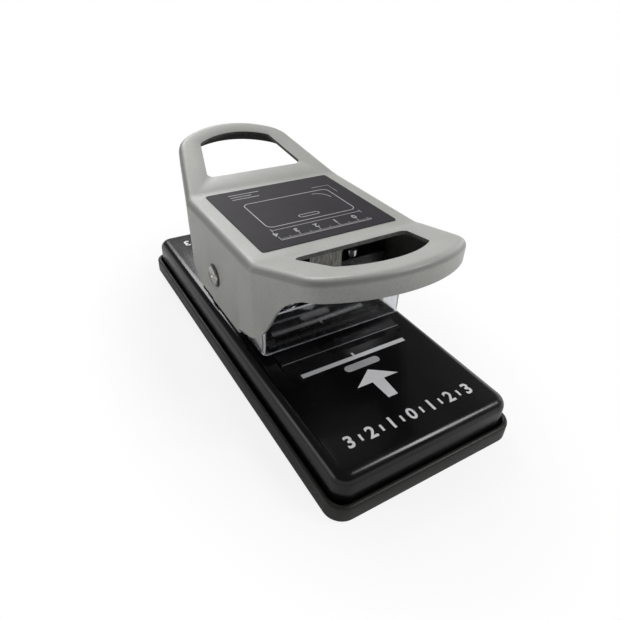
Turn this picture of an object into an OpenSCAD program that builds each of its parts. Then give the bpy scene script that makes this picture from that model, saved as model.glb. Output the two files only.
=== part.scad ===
// Desk punch for cards: a slot punch at the front and a corner cutter at the rear.
// One pressed handle rocks on a central shaft and drives a ram at each end.
// Millimetres, +Z up, -Y is the slot end. The origin is the middle of the footprint, on the desk.

/* [Chip tray] */
// Width of the chip tray
tray_w = 92; // [88:1:110]
// Length of the chip tray
tray_l = 212; // [206:1:250]
// Height of the tray's rim above the desk
tray_h = 8.4; // [7:0.1:10]
// Thickness of the tray's wall
tray_wall = 2.4; // [1.6:0.1:2.8]
// Thickness of the tray's floor
tray_floor = 1.8; // [1.2:0.1:2.4]
// Corner radius of the tray
tray_r = 8; // [7:0.5:14]
// Rounding of the tray's upper rim
tray_edge = 1.5; // [0.5:0.1:2]
// Height of the ribs on the tray's floor
tray_rib_h = 2.4; // [1:0.1:4]
// Diameter of the rubber feet
foot_d = 14; // [8:0.5:18]
// How far the feet lift the tray off the desk
foot_lift = 0.6; // [0.4:0.1:1.2]

/* [Cover] */
// Space between the tray's wall and the cover's side
cover_play = 0.4; // [0.3:0.1:1]
// Height of the cover's top above the desk
cover_top_z = 20.7; // [19:0.1:26]
// Thickness of the cover
cover_wall = 2; // [1.2:0.1:2.6]
// Corner radius of the cover
cover_r = 7; // [6.5:0.5:12]
// Rounding of the cover's upper edge
cover_edge = 3.4; // [2:0.1:5]
// Diameter of the cover's bosses
boss_d = 9; // [7.6:0.1:12]
// Diameter of the tray's locating studs
stud_d = 5; // [3:0.1:5.6]
// Distance of bosses and feet from the tray's sides
boss_inset = 12.5; // [11:0.5:16]

/* [Base plate] */
// Thickness of the steel base plate
plate_t = 2.5; // [2:0.1:4]
// Space between the base plate's side and the cover's wall
plate_side = 3; // [2:0.1:4]
// Space between the base plate's end and the cover's end wall
plate_end = 17.2; // [16:0.1:30]

/* [Pivot] */
// Place of the pivot along the machine
pivot_y = 5.5; // [0:0.1:8]
// Height of the pivot above the desk
pivot_z = 46.5; // [45.5:0.1:50]
// Diameter of the pivot shaft
shaft_d = 9.5; // [7:0.1:11]
// How far the shaft stands out of the handle
shaft_out = 1.5; // [0.6:0.1:3]
// Diameter of the bush in the handle's wall
bush_d = 11.4; // [11.4:0.1:16]
// Distance from the pivot to each ram's cross pin
arm = 22; // [21.5:0.1:24]
// Angle that the handle rocks to either side
swing_deg = 10.5; // [6:0.5:11]

/* [Punching] */
// Length of the punched slot
slot_l = 14; // [10:0.5:18]
// Width of the punched slot
slot_w = 3; // [2:0.1:4]
// Distance from the card's edge to the middle of the slot
slot_edge = 5; // [4:0.1:6.5]
// Radius that the rear end cuts on a card's corner
corner_r = 10; // [6:0.5:12]
// Width of card that fits between the side guides
card_w = 55; // [50:0.5:56]
// Height of the card throat
throat_h = 2.3; // [1.5:0.1:3]
// Width of a guide rail beside the card
rail_w = 4; // [3.6:0.1:5]
// Length of both die plates
die_l = 35.3; // [31:0.1:40]
// Length of the slanted lead-in of a die plate
die_lead = 2.6; // [0.5:0.1:3]
// Thickness of both die plates
die_t = 3; // [2.4:0.1:4]
// Height of both guide blocks
block_h = 9.5; // [8:0.1:9.6]

/* [Rams] */
// Space between a crosshead's end and the side frame
bar_play = 0.7; // [0.4:0.1:1.5]
// Depth of the crosshead bar, front to back
bar_d = 9; // [8:0.1:10]
// Diameter of the guide posts
post_d = 7.2; // [5:0.1:7.6]
// Distance between the two guide posts of a ram
post_pitch = 34; // [34:0.5:38]
// Diameter of the cross pin
pin_d = 5; // [3:0.1:6]
// Width of the drive block under the handle
drive_w = 17; // [12:0.5:17.4]
// Depth of the drive block, front to back
drive_d = 10; // [8:0.1:11]
// Wire of the return springs
spring_wire = 1; // [0.6:0.1:1.1]
// Turns of a return spring
spring_turns = 5; // [3:1:6]

/* [Side frames] */
// Space between a guide block and a side frame
frame_play = 2.7; // [2.4:0.1:4]
// Thickness of the side frames
frame_t = 2; // [1.5:0.1:2.4]
// Height of the side frames' top above the desk
frame_top_z = 56; // [54:0.5:57]
// Width of a side frame's turned-in foot
frame_foot_w = 12.2; // [11.6:0.1:14]
// Half length of a side frame, from the pivot
frame_half = 27; // [24:0.5:29]
// Thickness of the clear guards
guard_t = 1.2; // [0.8:0.1:1.6]
// Distance from the pivot to a guard's outer face
guard_out = 38.6; // [35:0.1:41]
// Height of the guards' top above the desk
guard_top_z = 44.3; // [38:0.1:48]

/* [Handle] */
// Thickness of a bush's flange, which fills the space from side frame to handle
bush_flange_t = 4.9; // [4.2:0.1:8]
// Height of the handle's flat top above the desk
handle_top_z = 71.5; // [70.5:0.1:76]
// Thickness of the handle's sheet
sheet_t = 1.6; // [1.2:0.1:1.8]
// Rounding of the handle's upper edges
handle_edge = 3.6; // [2:0.1:4]
// Distance from the pivot to the front bend
front_bend = 37; // [36:0.5:40]
// Distance from the pivot to the rear bend
rear_bend = 31.3; // [31:0.1:34]
// Length of the front loop beyond its bend
front_reach = 50.8; // [46:0.2:54]
// Length of the rear loop beyond its bend
rear_reach = 57.4; // [50:0.2:60]
// Tilt of the front loop
front_tilt = 15.8; // [10:0.1:18]
// Tilt of the rear loop
rear_tilt = 18.6; // [12:0.1:20]
// Height of the front loop's turned-down lip at its tip
front_lip = 10.2; // [7:0.1:12]
// Height of the rear loop's turned-down lip at its tip
rear_lip = 11; // [8:0.1:12]
// Height of the side walls' lower edge above the desk
skirt_z = 31.4; // [30.5:0.1:34]
// Thickness of the label on the handle
label_t = 0.3; // [0.2:0.05:0.5]

/* [Hidden] */
$fn = 48;

gap = 0.3;            // between pieces that move past each other
fit = 0.06;           // radial running clearance of shaft and posts
eps = 0.01;           // overlap of cutting tools
far = 400;            // longer than anything here

cover_w = tray_w - 2 * (tray_wall + cover_play);
cover_l = tray_l - 2 * (tray_wall + cover_play);
inner_w = cover_w - 2 * cover_wall;
inner_l = cover_l - 2 * cover_wall;
cover_low_z = foot_lift + tray_floor + gap;
boss_x = tray_w / 2 - boss_inset;
boss_y = tray_l / 2 - boss_inset;
boss_lift = 0.7;        // lower end of a boss above the cover's lower edge
foot_t = 1.6;
stud_top_z = tray_h - 0.4;
rib_w = 1.5;            // all ribs

plate_w = inner_w - 2 * plate_side;
plate_l = inner_l - 2 * plate_end;
plate_r = 4;
plate_top_z = cover_top_z - cover_wall;
die_top_z = plate_top_z + die_t;
block_low_z = die_top_z + throat_h;
block_top_z = block_low_z + block_h;

travel = arm * swing_deg * PI / 180;
stop_at = arm - slot_edge;              // back stop for the slotted card
stop_t = 5;
block_near = stop_at - stop_t;
block_front = 7.7;                      // guide block beyond the middle of the slot
block_far = arm + block_front;
block_w = card_w + 2 * rail_w;
screw_d = 2.5;                          // block screws
screw_in = 3;                           // block screws from the block's ends
screw_x = card_w / 2 + rail_w / 2;
screw_near = block_near + screw_in;
screw_far = block_far - screw_in;
die_lip = 0.5;                          // die plate beyond the block at each side
die_w = block_w + 2 * die_lip;
die_start = screw_near - screw_d / 2 - 1;
die_end = die_start + die_l;
die_drop = 1;                           // depth of the lead-in at the die's outer edge
block_edge = 0.7;                       // chamfered lower edge of the guide block
corner_back = 3.5;                      // tip of the card corner in the fence, behind the ram's middle
corner_at = arm - corner_back;
fence_run = 17;                         // fence beyond the ram's middle
fence_end = arm + fence_run;
blade_side = 2;                         // corner blade beyond its arc at each side
blade_w = corner_r * sqrt(2) + 2 * blade_side;
blade_back = 1.5;
blade_near = corner_at - blade_back;
blade_far = corner_at + corner_r * 0.8;
blade_tip_z = block_low_z + gap;
blade_head = 1.5;
blade_fit = 0.05;                       // clearance of a blade in its guide and die

ram_clear = 0.5;
web_low_z = block_top_z + travel + ram_clear; // underside of the crosshead's middle
web_t = 3;
web_top_z = web_low_z + web_t;          // floor of the crosshead's channel
wing_drop = 0.5;
wing_low_z = pivot_z - wing_drop;
bar_rise = 7;
bar_top_z = pivot_z + bar_rise;
channel_w = drive_w + 2 * gap;
saddle_t = 2.4;                         // each cheek beside the crosshead's channel
saddle_w = channel_w + 2 * saddle_t;
post_sink = 2;                          // post's lower end above the block's underside
post_low_z = block_low_z + post_sink;
post_top_z = bar_top_z + travel;
spring_r = post_d / 2 + gap + spring_wire / 2;
spring_low_z = block_top_z + spring_wire / 2;
spring_top_z = wing_low_z - spring_wire / 2;
drive_low_z = web_top_z + drive_d / 2 * sin(swing_deg) + 0.4;
drive_play = 0.08;                      // radial clearance of the cross pin in the drive block
drive_screw_l = 9;                      // screw length below the handle's plate
slot_travel = 0.5;                      // half length of the drive block's slot

frame_in = block_w / 2 + frame_play;
frame_out = frame_in + frame_t;
bar_w = 2 * (frame_in - bar_play);
foot_half = block_near - 1;             // half length of the frames' feet
foot_in = frame_in - frame_foot_w;
frame_screw_x = frame_in - frame_foot_w / 2;
frame_screw_v = 6;
frame_screw_d = 3;
guard_in = frame_out;
guard_low_z = block_low_z;
guard_lap = 4.5;                        // guard's arms behind the ram's middle
guard_arm_end = arm - guard_lap;
guard_r = 2;
guard_cut = 8;                          // cut at the arms' upper rear corners
guard_screw_in = 3.5;                   // guard screws from the frames' ends
guard_screw_v = frame_half - guard_screw_in;
guard_screw_rise = 6;
guard_screw_z = guard_low_z + guard_screw_rise;
guard_screw_d = 3;

wall_in = frame_out + gap + bush_flange_t;
handle_w = 2 * (wall_in + sheet_t);
plate_under_z = handle_top_z - sheet_t;
shaft_half = handle_w / 2 + shaft_out;
clip_t = 1.2;
clip_d = shaft_d + 5.5;
groove = 0.8;
bush_flange_d = bush_d + 4;
drive_screw_d = 3;
drive_screw_x = 5;
label_margin = 8.5;                     // plate edge to label, at the sides
label_front = 3.8;                      // front bend to label
label_rear = 0.6;                       // label to rear bend
skirt_run = 20;                         // straight part of a loop's outline behind its bend
// Front loop: half width over the handle's at the bend, and under it at its end; then side, arc, corner
front_flare = 0.7;
front_taper = 7.4;
front_side = 40;
front_arc = 53;
front_corner = 15;
front_deep = 44;                        // wall of the front loop before the arch is cut
// Rear loop, in the same way
rear_flare = -0.1;
rear_taper = 13.2;
rear_side = 50;
rear_arc = 45;
rear_corner = 17;
rear_deep = 24;
// Finger holes: rim beside the hole at the bend and at its end, rim at the tip, and first edge
front_rim = 14;
front_rim_end = 20.7;
front_rim_tip = 12.8;
front_hole_start = 8;
front_hole_side = 29.5;
front_hole_arc = 34;
rear_rim = 13.8;
rear_rim_end = 21.6;
rear_rim_tip = 11;
rear_hole_start = 12.6;
rear_hole_side = 34.8;
rear_hole_arc = 36;
hole_corner = 3;
clear_deep = 16;                        // a hollow reaches this much deeper than its wall
heel_r = 12;                            // lower rear corner of a side wall
tab_rear = 5.5;                         // lower tab of a side wall, both ends from the pivot
tab_front = -25.5;
tab_drop = 1;
toe_rise = 4.6;                         // front corner of a side wall above its lower edge
tip_chamfer = 0.6;                      // on shaft ends, posts and studs

dark_sheet = [0.20, 0.20, 0.21];
black = [0.09, 0.09, 0.10];
grey_paint = [0.69, 0.69, 0.67];
steel = [0.62, 0.62, 0.64];

// Points on an arc about c, from angle a to angle b
function arc_points(c, r, a, b, n) =
    [for (i = [0:n]) c + r * [cos(a + (b - a) * i / n), sin(a + (b - a) * i / n)]];

// Points on a cubic curve between two ends, pulled by two control points
function curve_points(p, n) =
    [for (i = [0:n]) let (t = i / n, u = 1 - t)
        u * u * u * p[0] + 3 * u * u * t * p[1] + 3 * u * t * t * p[2] + t * t * t * p[3]];

function mirrored(points) =
    [for (i = [len(points) - 1:-1:0]) [-points[i][0], points[i][1]]];

// Half outline of a D shape: a side line from (w0, 0) through (w1, s1), a corner of radius rc,
// and an end arc of radius rf about the middle line that reaches the tip
function d_side(w0, w1, s1, rf, rc, tip) =
    let (d = [w1 - w0, s1] / norm([w1 - w0, s1]),
         n = [-d[1], d[0]],
         p = [w0, 0] + rc * n,
         c = [0, tip - rf],
         q = p - c,
         b = q * d,
         t = -b + sqrt(b * b - q * q + (rf - rc) * (rf - rc)),
         m = p + t * d,
         side_angle = atan2(-n[1], -n[0]),
         end_angle = atan2(m[1] - c[1], m[0] - c[0]))
    concat(arc_points(m, rc, side_angle, end_angle, 7), arc_points(c, rf, end_angle, 90, 8));

// Outline of a loop in its own plane, as wide as the handle behind the bend
module loop_outline(w0, w1, s1, rf, rc, tip) {
    half = concat([[handle_w / 2, -skirt_run],
                   [handle_w / 2, (w0 - handle_w / 2) / (w0 - w1) * s1]],
                  d_side(w0, w1, s1, rf, rc, tip));
    polygon(concat(half, mirrored(half)));
}

// Finger hole of a loop, with rounded corners near the bend
module loop_hole(w0, w1, s0, s1, rf, rc, tip, r0) {
    w = w0 + (w1 - w0) * s0 / s1;
    half = concat(arc_points([w - r0, s0 + r0], r0, -90, -8, 5), d_side(w0, w1, s1, rf, rc, tip));
    polygon(concat(half, mirrored(half)));
}

module front_outline()
    loop_outline(handle_w / 2 + front_flare, handle_w / 2 - front_taper, front_side, front_arc,
                 front_corner, front_reach);
module rear_outline()
    loop_outline(handle_w / 2 + rear_flare, handle_w / 2 - rear_taper, rear_side, rear_arc,
                 rear_corner, rear_reach);
module front_hole()
    loop_hole(handle_w / 2 - front_rim, handle_w / 2 - front_rim_end, front_hole_start,
              front_hole_side, front_hole_arc, hole_corner, front_reach - front_rim_tip, hole_corner);
module rear_hole()
    loop_hole(handle_w / 2 - rear_rim, handle_w / 2 - rear_rim_end, rear_hole_start,
              rear_hole_side, rear_hole_arc, hole_corner, rear_reach - rear_rim_tip, hole_corner);

// Both ends are built outwards from the pivot: y is the distance from it
module slot_end() { translate([0, pivot_y, 0]) mirror([0, 1, 0]) children(); }
module corner_end() { translate([0, pivot_y, 0]) children(); }
module both_ends() { slot_end() children(); corner_end() children(); }
module both_sides() { children(); mirror([1, 0, 0]) children(); }
module at_corners(x, y) { for (i = [-1, 1], j = [-1, 1]) translate([i * x, j * y, 0]) children(); }

// A plate in x, between two distances from the pivot and two heights
module slab(w, near, away, low, high) {
    translate([-w / 2, near, low]) cube([w, away - near, high - low]);
}

// A cylinder across the machine, centred on it
module cross_rod(r, half) { rotate([0, 90, 0]) cylinder(r = r, h = 2 * half, center = true); }

// Rectangle with round corners, as true arcs
module round_rect(w, l, r) {
    square([w - 2 * r, l], center = true);
    square([w, l - 2 * r], center = true);
    for (i = [-1, 1], j = [-1, 1]) translate([i * (w / 2 - r), j * (l / 2 - r)]) circle(r);
}

// Slot shape with round ends, along x
module obround(l, w) {
    square([l - w, w], center = true);
    for (i = [-1, 1]) translate([i * (l - w) / 2, 0]) circle(w / 2);
}

// Box with round corners and a rounded upper edge
module soft_box(w, l, low, high, r, edge) {
    hull() {
        for (i = [-1, 1], j = [-1, 1])
            translate([i * (w / 2 - r), j * (l / 2 - r), low])
                cylinder(r = r, h = high - low - edge, $fn = 32);
        for (a = [30:30:90], i = [-1, 1], j = [-1, 1])
            translate([i * (w / 2 - r), j * (l / 2 - r), high - edge + edge * sin(a) - eps])
                cylinder(r = r - edge * (1 - cos(a)), h = eps, $fn = 32);
    }
}

// Screw with a round head and a hexagon socket, seated at the given height
module cap_screw(d, seat_z, tip_z) {
    head = d * 0.9;
    difference() {
        union() {
            translate([0, 0, tip_z]) cylinder(r = d / 2, h = seat_z - tip_z + eps);
            translate([0, 0, seat_z]) cylinder(r = head, h = d * 0.75);
            translate([0, 0, seat_z + d * 0.75]) cylinder(r1 = head, r2 = head - d * 0.1, h = d * 0.1);
        }
        translate([0, 0, seat_z + d * 0.35]) cylinder(r = d * 0.5, h = d, $fn = 6);
    }
}

module chip_tray() color(black) {
    low = foot_lift;
    deck = foot_lift + tray_floor;
    difference() {
        soft_box(tray_w, tray_l, low, tray_h, tray_r, tray_edge);
        translate([0, 0, deck]) linear_extrude(tray_h)
            round_rect(tray_w - 2 * tray_wall, tray_l - 2 * tray_wall, tray_r - tray_wall);
        at_corners(boss_x, boss_y) translate([0, 0, -eps]) cylinder(r = foot_d / 2, h = foot_t + eps);
    }
    for (x = [-boss_x / 2, boss_x / 2])
        translate([x - rib_w / 2, -boss_y, deck]) cube([rib_w, 2 * boss_y, tray_rib_h]);
    for (j = [-2:2])
        translate([-boss_x, j * boss_y / 2.6 - rib_w / 2, deck]) cube([2 * boss_x, rib_w, tray_rib_h]);
    at_corners(boss_x, boss_y) {
        translate([0, 0, foot_t]) cylinder(r = stud_d / 2, h = stud_top_z - foot_t - tip_chamfer);
        translate([0, 0, stud_top_z - tip_chamfer])
            cylinder(r1 = stud_d / 2, r2 = stud_d / 2 - tip_chamfer, h = tip_chamfer);
    }
}

module foot_pads() color("dimgray") at_corners(boss_x, boss_y) {
    cylinder(r1 = foot_d / 2 - 0.9, r2 = foot_d / 2 - 0.3, h = foot_lift);
    translate([0, 0, foot_lift]) cylinder(r = foot_d / 2 - 0.3, h = foot_t - foot_lift);
}

module base_cover() color(black) {
    window = die_w + 2 * gap;
    difference() {
        soft_box(cover_w, cover_l, cover_low_z, cover_top_z, cover_r, cover_edge);
        soft_box(inner_w, inner_l, cover_low_z - 1, plate_top_z, cover_r - cover_wall, cover_edge / 2);
        both_ends() slab(window, die_start - gap, die_end + gap, plate_top_z - 1, cover_top_z + 1);
        corner_end() frame_screw_places() cylinder(r = frame_screw_d / 2, h = far, center = true);
    }
    difference() {
        at_corners(boss_x, boss_y) translate([0, 0, cover_low_z + boss_lift])
            cylinder(r = boss_d / 2, h = plate_top_z - cover_low_z - boss_lift);
        at_corners(boss_x, boss_y) translate([0, 0, cover_low_z])
            cylinder(r = stud_d / 2 + gap, h = stud_top_z + 2 - cover_low_z);
    }
    // ribs between the cover's side walls and the base plate
    rib_l = plate_side - gap + eps;
    for (j = [-1.5:1:1.5], i = [-1, 1])
        translate([i * (inner_w / 2 - rib_l / 2 + eps) - rib_l / 2, j * cover_l / 5 - rib_w / 2, tray_h])
            cube([rib_l, rib_w, plate_top_z - tray_h]);
}

// Four screw places in the frames' feet
module frame_screw_places() {
    for (i = [-1, 1], j = [-1, 1]) translate([i * frame_screw_x, j * frame_screw_v, 0]) children();
}

// Four screw places through a guide block
module block_screw_places() {
    for (i = [-1, 1], v = [screw_near, screw_far]) translate([i * screw_x, v, 0]) children();
}

module base_plate() color(steel) difference() {
    translate([0, 0, plate_top_z - plate_t]) linear_extrude(plate_t) round_rect(plate_w, plate_l, plate_r);
    slot_end() translate([0, arm, 0]) linear_extrude(far) obround(slot_l + 6, slot_w + 6);
    corner_end() slab(blade_w + 4, blade_near - 2, blade_far + 2, 0, far);
    both_ends() block_screw_places() cylinder(r = screw_d / 2, h = far, center = true);
    corner_end() frame_screw_places() cylinder(r = frame_screw_d / 2, h = far, center = true);
}

module die_blank() {
    difference() {
        slab(die_w, die_start, die_end, plate_top_z, die_top_z);
        // slanted lead-in along the outer edge
        translate([0, die_end - die_lead, die_top_z]) rotate([-atan(die_drop / die_lead), 0, 0])
            translate([-far / 2, 0, 0]) cube([far, 2 * die_lead, die_t]);
        block_screw_places() cylinder(r = screw_d / 2, h = far, center = true);
        children();
    }
}

module slot_die_plate() color(steel) slot_end() die_blank()
    translate([0, arm, 0]) linear_extrude(far) obround(slot_l + 2 * blade_fit, slot_w + 2 * blade_fit);

module corner_die_plate() color(steel) corner_end() die_blank() corner_shape(blade_fit);

module slot_spacer() color(steel) slot_end() difference() {
    slab(block_w, block_near, block_far, die_top_z, block_low_z);
    slab(card_w, stop_at, far, 0, far);
    block_screw_places() cylinder(r = screw_d / 2, h = far, center = true);
}

module corner_fence() color(steel) corner_end() difference() {
    slab(block_w, block_near, fence_end, die_top_z, block_low_z);
    translate([0, corner_at, 0]) rotate([0, 0, 45]) cube([far, far, far]);
    slab(blade_w + 2 * gap, blade_near - gap, far, 0, far);
    block_screw_places() cylinder(r = screw_d / 2, h = far, center = true);
}

// Corner blade in plan: a block with the corner's round cut into its face
module corner_shape(clear) {
    linear_extrude(far) difference() {
        translate([-blade_w / 2 - clear, blade_near - clear])
            square([blade_w + 2 * clear, blade_far - blade_near + 2 * clear]);
        translate([0, corner_at + corner_r * sqrt(2)]) circle(corner_r - clear);
    }
}

module guide_blank() {
    difference() {
        slab(block_w, block_near, block_far, block_low_z, block_top_z);
        translate([0, block_far, block_low_z]) rotate([45, 0, 0])
            cube([far, block_edge * sqrt(2), block_edge * sqrt(2)], center = true);
        translate([0, block_far, block_top_z]) rotate([45, 0, 0]) cube([far, 1, 1], center = true);
        for (i = [-1, 1]) translate([i * post_pitch / 2, arm, post_low_z]) cylinder(r = post_d / 2, h = far);
        block_screw_places() cylinder(r = screw_d / 2, h = far, center = true);
        children();
    }
}

module slot_guide_block() color(black) slot_end() guide_blank()
    translate([0, arm, 0]) linear_extrude(far) obround(slot_l + 2 * blade_fit, slot_w + 2 * blade_fit);

module corner_guide_block() color(black) corner_end() guide_blank() corner_shape(blade_fit);

module block_screws() {
    block_screw_places() cap_screw(screw_d, block_top_z, plate_top_z - plate_t);
}
module slot_block_screws() color(steel) slot_end() block_screws();
module corner_block_screws() color(steel) corner_end() block_screws();

// One side frame, on the +X side: a cheek with rounded top corners and a turned-in foot
module side_frame() translate([0, pivot_y, 0]) {
    round_r = 10;
    difference() {
        translate([frame_in, 0, 0]) rotate([90, 0, 90]) linear_extrude(frame_t) {
            translate([-frame_half, cover_top_z])
                square([2 * frame_half, frame_top_z - cover_top_z - round_r]);
            translate([-frame_half + round_r, cover_top_z])
                square([2 * (frame_half - round_r), frame_top_z - cover_top_z]);
            for (i = [-1, 1]) translate([i * (frame_half - round_r), frame_top_z - round_r]) circle(round_r);
        }
        translate([0, 0, pivot_z]) cross_rod(shaft_d / 2, far);
        for (i = [-1, 1]) translate([0, i * guard_screw_v, guard_screw_z])
            cross_rod(guard_screw_d / 2, far);
        // relief along the foot's bend
        for (i = [-1, 1]) translate([frame_in + frame_t / 2, i * (foot_half + 0.75), cover_top_z])
            cube([far, 1.5, 2 * frame_t], center = true);
    }
    difference() {
        translate([foot_in, -foot_half, cover_top_z])
            cube([frame_foot_w + eps, 2 * foot_half, frame_t]);
        frame_screw_places() cylinder(r = frame_screw_d / 2, h = far, center = true);
    }
}
module frame_right() color(dark_sheet) side_frame();
module frame_left() color(dark_sheet) mirror([1, 0, 0]) side_frame();

module frame_screws() color(steel) corner_end()
    frame_screw_places() cap_screw(frame_screw_d, cover_top_z + frame_t, plate_top_z - plate_t);

// Clear guard bent round the front of a station and along the side frames
module guard() {
    high = guard_top_z - guard_low_z;
    difference() {
        translate([0, 0, guard_low_z]) linear_extrude(high) difference() {
            guard_plan(guard_in + guard_t, guard_out, guard_r);
            guard_plan(guard_in, guard_out - guard_t, guard_r - guard_t / 2);
        }
        translate([0, guard_screw_v, guard_screw_z]) cross_rod(guard_screw_d / 2, far);
        // upper rear corners of the arms are cut off at a slant
        translate([0, guard_arm_end, guard_top_z]) rotate([45, 0, 0])
            cube([far, guard_cut, guard_cut], center = true);
    }
}
module guard_plan(half, away, r) {
    translate([-half, guard_arm_end]) square([2 * half, away - guard_arm_end - r]);
    translate([-half + r, guard_arm_end]) square([2 * (half - r), away - guard_arm_end]);
    for (i = [-1, 1]) translate([i * (half - r), away - r]) circle(r);
}
module front_guard() color([0.8, 0.85, 0.9, 0.35]) slot_end() guard();
module rear_guard() color([0.8, 0.85, 0.9, 0.35]) corner_end() guard();

module guard_screws() color(steel) both_ends() both_sides()
    translate([0, guard_screw_v, guard_screw_z]) rotate([0, 90, 0])
        cap_screw(guard_screw_d, guard_in + guard_t, frame_in - 0.2);

module pivot_shaft() color(steel) translate([0, pivot_y, pivot_z]) difference() {
    union() {
        cross_rod(shaft_d / 2, shaft_half - tip_chamfer);
        both_sides() translate([shaft_half - tip_chamfer, 0, 0]) rotate([0, 90, 0])
            cylinder(r1 = shaft_d / 2, r2 = shaft_d / 2 - tip_chamfer, h = tip_chamfer);
    }
    both_sides() translate([clip_mid(), 0, 0]) difference() {
        cross_rod(far, clip_t / 2);
        cross_rod(shaft_d / 2 - groove, clip_t);
    }
}
function clip_mid() = frame_in - 0.2 - clip_t / 2;

module shaft_clips() color(steel) translate([0, pivot_y, pivot_z]) both_sides() translate([clip_mid(), 0, 0])
    difference() {
        cross_rod(clip_d / 2, clip_t / 2);
        cross_rod(shaft_d / 2 - groove, clip_t);
        // the open mouth of the clip
        translate([-clip_t, -shaft_d * 0.3, -clip_d]) cube([2 * clip_t, shaft_d * 0.6, clip_d]);
    }

module frame_spacer() color(steel) translate([0, pivot_y, pivot_z]) difference() {
    cross_rod(shaft_d / 2 + 2.2, clip_mid() - clip_t / 2 - 0.2);
    cross_rod(shaft_d / 2 + fit, far);
}

module guide_posts() {
    for (i = [-1, 1]) translate([i * post_pitch / 2, arm, 0]) {
        translate([0, 0, post_low_z])
            cylinder(r = post_d / 2, h = post_top_z - post_low_z - tip_chamfer);
        translate([0, 0, post_top_z - tip_chamfer])
            cylinder(r1 = post_d / 2, r2 = post_d / 2 - tip_chamfer, h = tip_chamfer);
    }
}
module slot_posts() color("silver") slot_end() guide_posts();
module corner_posts() color("silver") corner_end() guide_posts();

// Return spring as one helical tube: rings of six points, eight rings to a turn
rings_a_turn = 8;
ring_sides = 6;
spring_rings = spring_turns * rings_a_turn;
spring_pitch = (spring_top_z - spring_low_z) / spring_turns;
function spring_centre(i) =
    [spring_r * cos(i * 360 / rings_a_turn), spring_r * sin(i * 360 / rings_a_turn),
     spring_low_z + spring_pitch * i / rings_a_turn];
function spring_point(i, k) =
    let (a = i * 360 / rings_a_turn, b = k * 360 / ring_sides,
         out = [cos(a), sin(a), 0], up = [0, 0, 1])
    spring_centre(i) + spring_wire / 2 * (cos(b) * out + sin(b) * up);

module return_spring() {
    points = [for (i = [0:spring_rings], k = [0:ring_sides - 1]) spring_point(i, k)];
    walls = [for (i = [0:spring_rings - 1], k = [0:ring_sides - 1])
        let (a = i * ring_sides + k, b = i * ring_sides + (k + 1) % ring_sides)
        each [[a, b, b + ring_sides], [a, b + ring_sides, a + ring_sides]]];
    first = [for (k = [1:ring_sides - 2]) [0, k + 1, k]];
    last_ring = spring_rings * ring_sides;
    last = [for (k = [1:ring_sides - 2]) [last_ring, last_ring + k, last_ring + k + 1]];
    polyhedron(points, concat(walls, first, last));
}
// Least distance between rings at least half a turn apart, less the wire
spring_gap = min([for (i = [0:spring_rings], j = [i + rings_a_turn / 2:1:spring_rings])
    norm(spring_centre(i) - spring_centre(j))]) - spring_wire;
echo(spring_gap_mm = spring_gap);

module springs() { for (i = [-1, 1]) translate([i * post_pitch / 2, arm, 0]) return_spring(); }
module slot_springs() color("silver") slot_end() springs();
module corner_springs() color("silver") corner_end() springs();

// Crosshead: a bar with a deep saddle in its middle that the drive block drops into
module crosshead() {
    end_cut = 1.5;
    difference() {
        translate([0, arm + bar_d / 2, 0]) rotate([90, 0, 0]) linear_extrude(bar_d) {
            polygon([[-bar_w / 2, wing_low_z + end_cut], [-bar_w / 2 + end_cut, wing_low_z],
                     [bar_w / 2 - end_cut, wing_low_z], [bar_w / 2, wing_low_z + end_cut],
                     [bar_w / 2, bar_top_z - end_cut], [bar_w / 2 - end_cut, bar_top_z],
                     [-bar_w / 2 + end_cut, bar_top_z], [-bar_w / 2, bar_top_z - end_cut]]);
            polygon([[-saddle_w / 2, bar_top_z - 1], [-saddle_w / 2, web_low_z + 1],
                     [-saddle_w / 2 + 1, web_low_z], [saddle_w / 2 - 1, web_low_z],
                     [saddle_w / 2, web_low_z + 1], [saddle_w / 2, bar_top_z - 1]]);
        }
        slab(channel_w, 0, far, web_top_z, far);
        for (i = [-1, 1]) translate([i * post_pitch / 2, arm, 0]) cylinder(r = post_d / 2 + fit, h = far);
        translate([0, arm, pivot_z]) cross_rod(pin_d / 2, saddle_w);
        children();
    }
}
module slot_crosshead() color(black) slot_end() crosshead()
    translate([0, arm, 0]) {
        linear_extrude(far) obround(slot_l, slot_w);
        translate([0, 0, web_top_z - blade_head]) linear_extrude(far) obround(slot_l + 2.5, slot_w + 2.5);
    }
module corner_crosshead() color(black) corner_end() crosshead();

module slot_blade() color("silver") slot_end() translate([0, arm, 0]) {
    translate([0, 0, blade_tip_z]) linear_extrude(web_top_z - blade_tip_z) obround(slot_l, slot_w);
    translate([0, 0, web_top_z - blade_head]) linear_extrude(blade_head) obround(slot_l + 2.5, slot_w + 2.5);
}
module corner_blade() color("silver") corner_end() intersection() {
    corner_shape(0);
    slab(far, 0, far, blade_tip_z, web_low_z);
}

module cross_pin() { translate([0, arm, pivot_z]) cross_rod(pin_d / 2, saddle_w / 2); }
module slot_pin() color("silver") slot_end() cross_pin();
module corner_pin() color("silver") corner_end() cross_pin();

// Block under the handle with a short slot for the cross pin
module drive_block() {
    difference() {
        slab(drive_w, arm - drive_d / 2, arm + drive_d / 2, drive_low_z, plate_under_z);
        for (v = [-slot_travel, slot_travel])
            translate([0, arm + v, pivot_z]) cross_rod(pin_d / 2 + drive_play, drive_w);
        slab(2 * drive_w, arm - slot_travel, arm + slot_travel,
             pivot_z - pin_d / 2 - drive_play, pivot_z + pin_d / 2 + drive_play);
        for (i = [-1, 1]) translate([i * drive_screw_x, arm, plate_under_z - drive_screw_l])
            cylinder(r = drive_screw_d / 2, h = far);
    }
}
module slot_drive_block() color(steel) slot_end() drive_block();
module corner_drive_block() color(steel) corner_end() drive_block();

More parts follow.
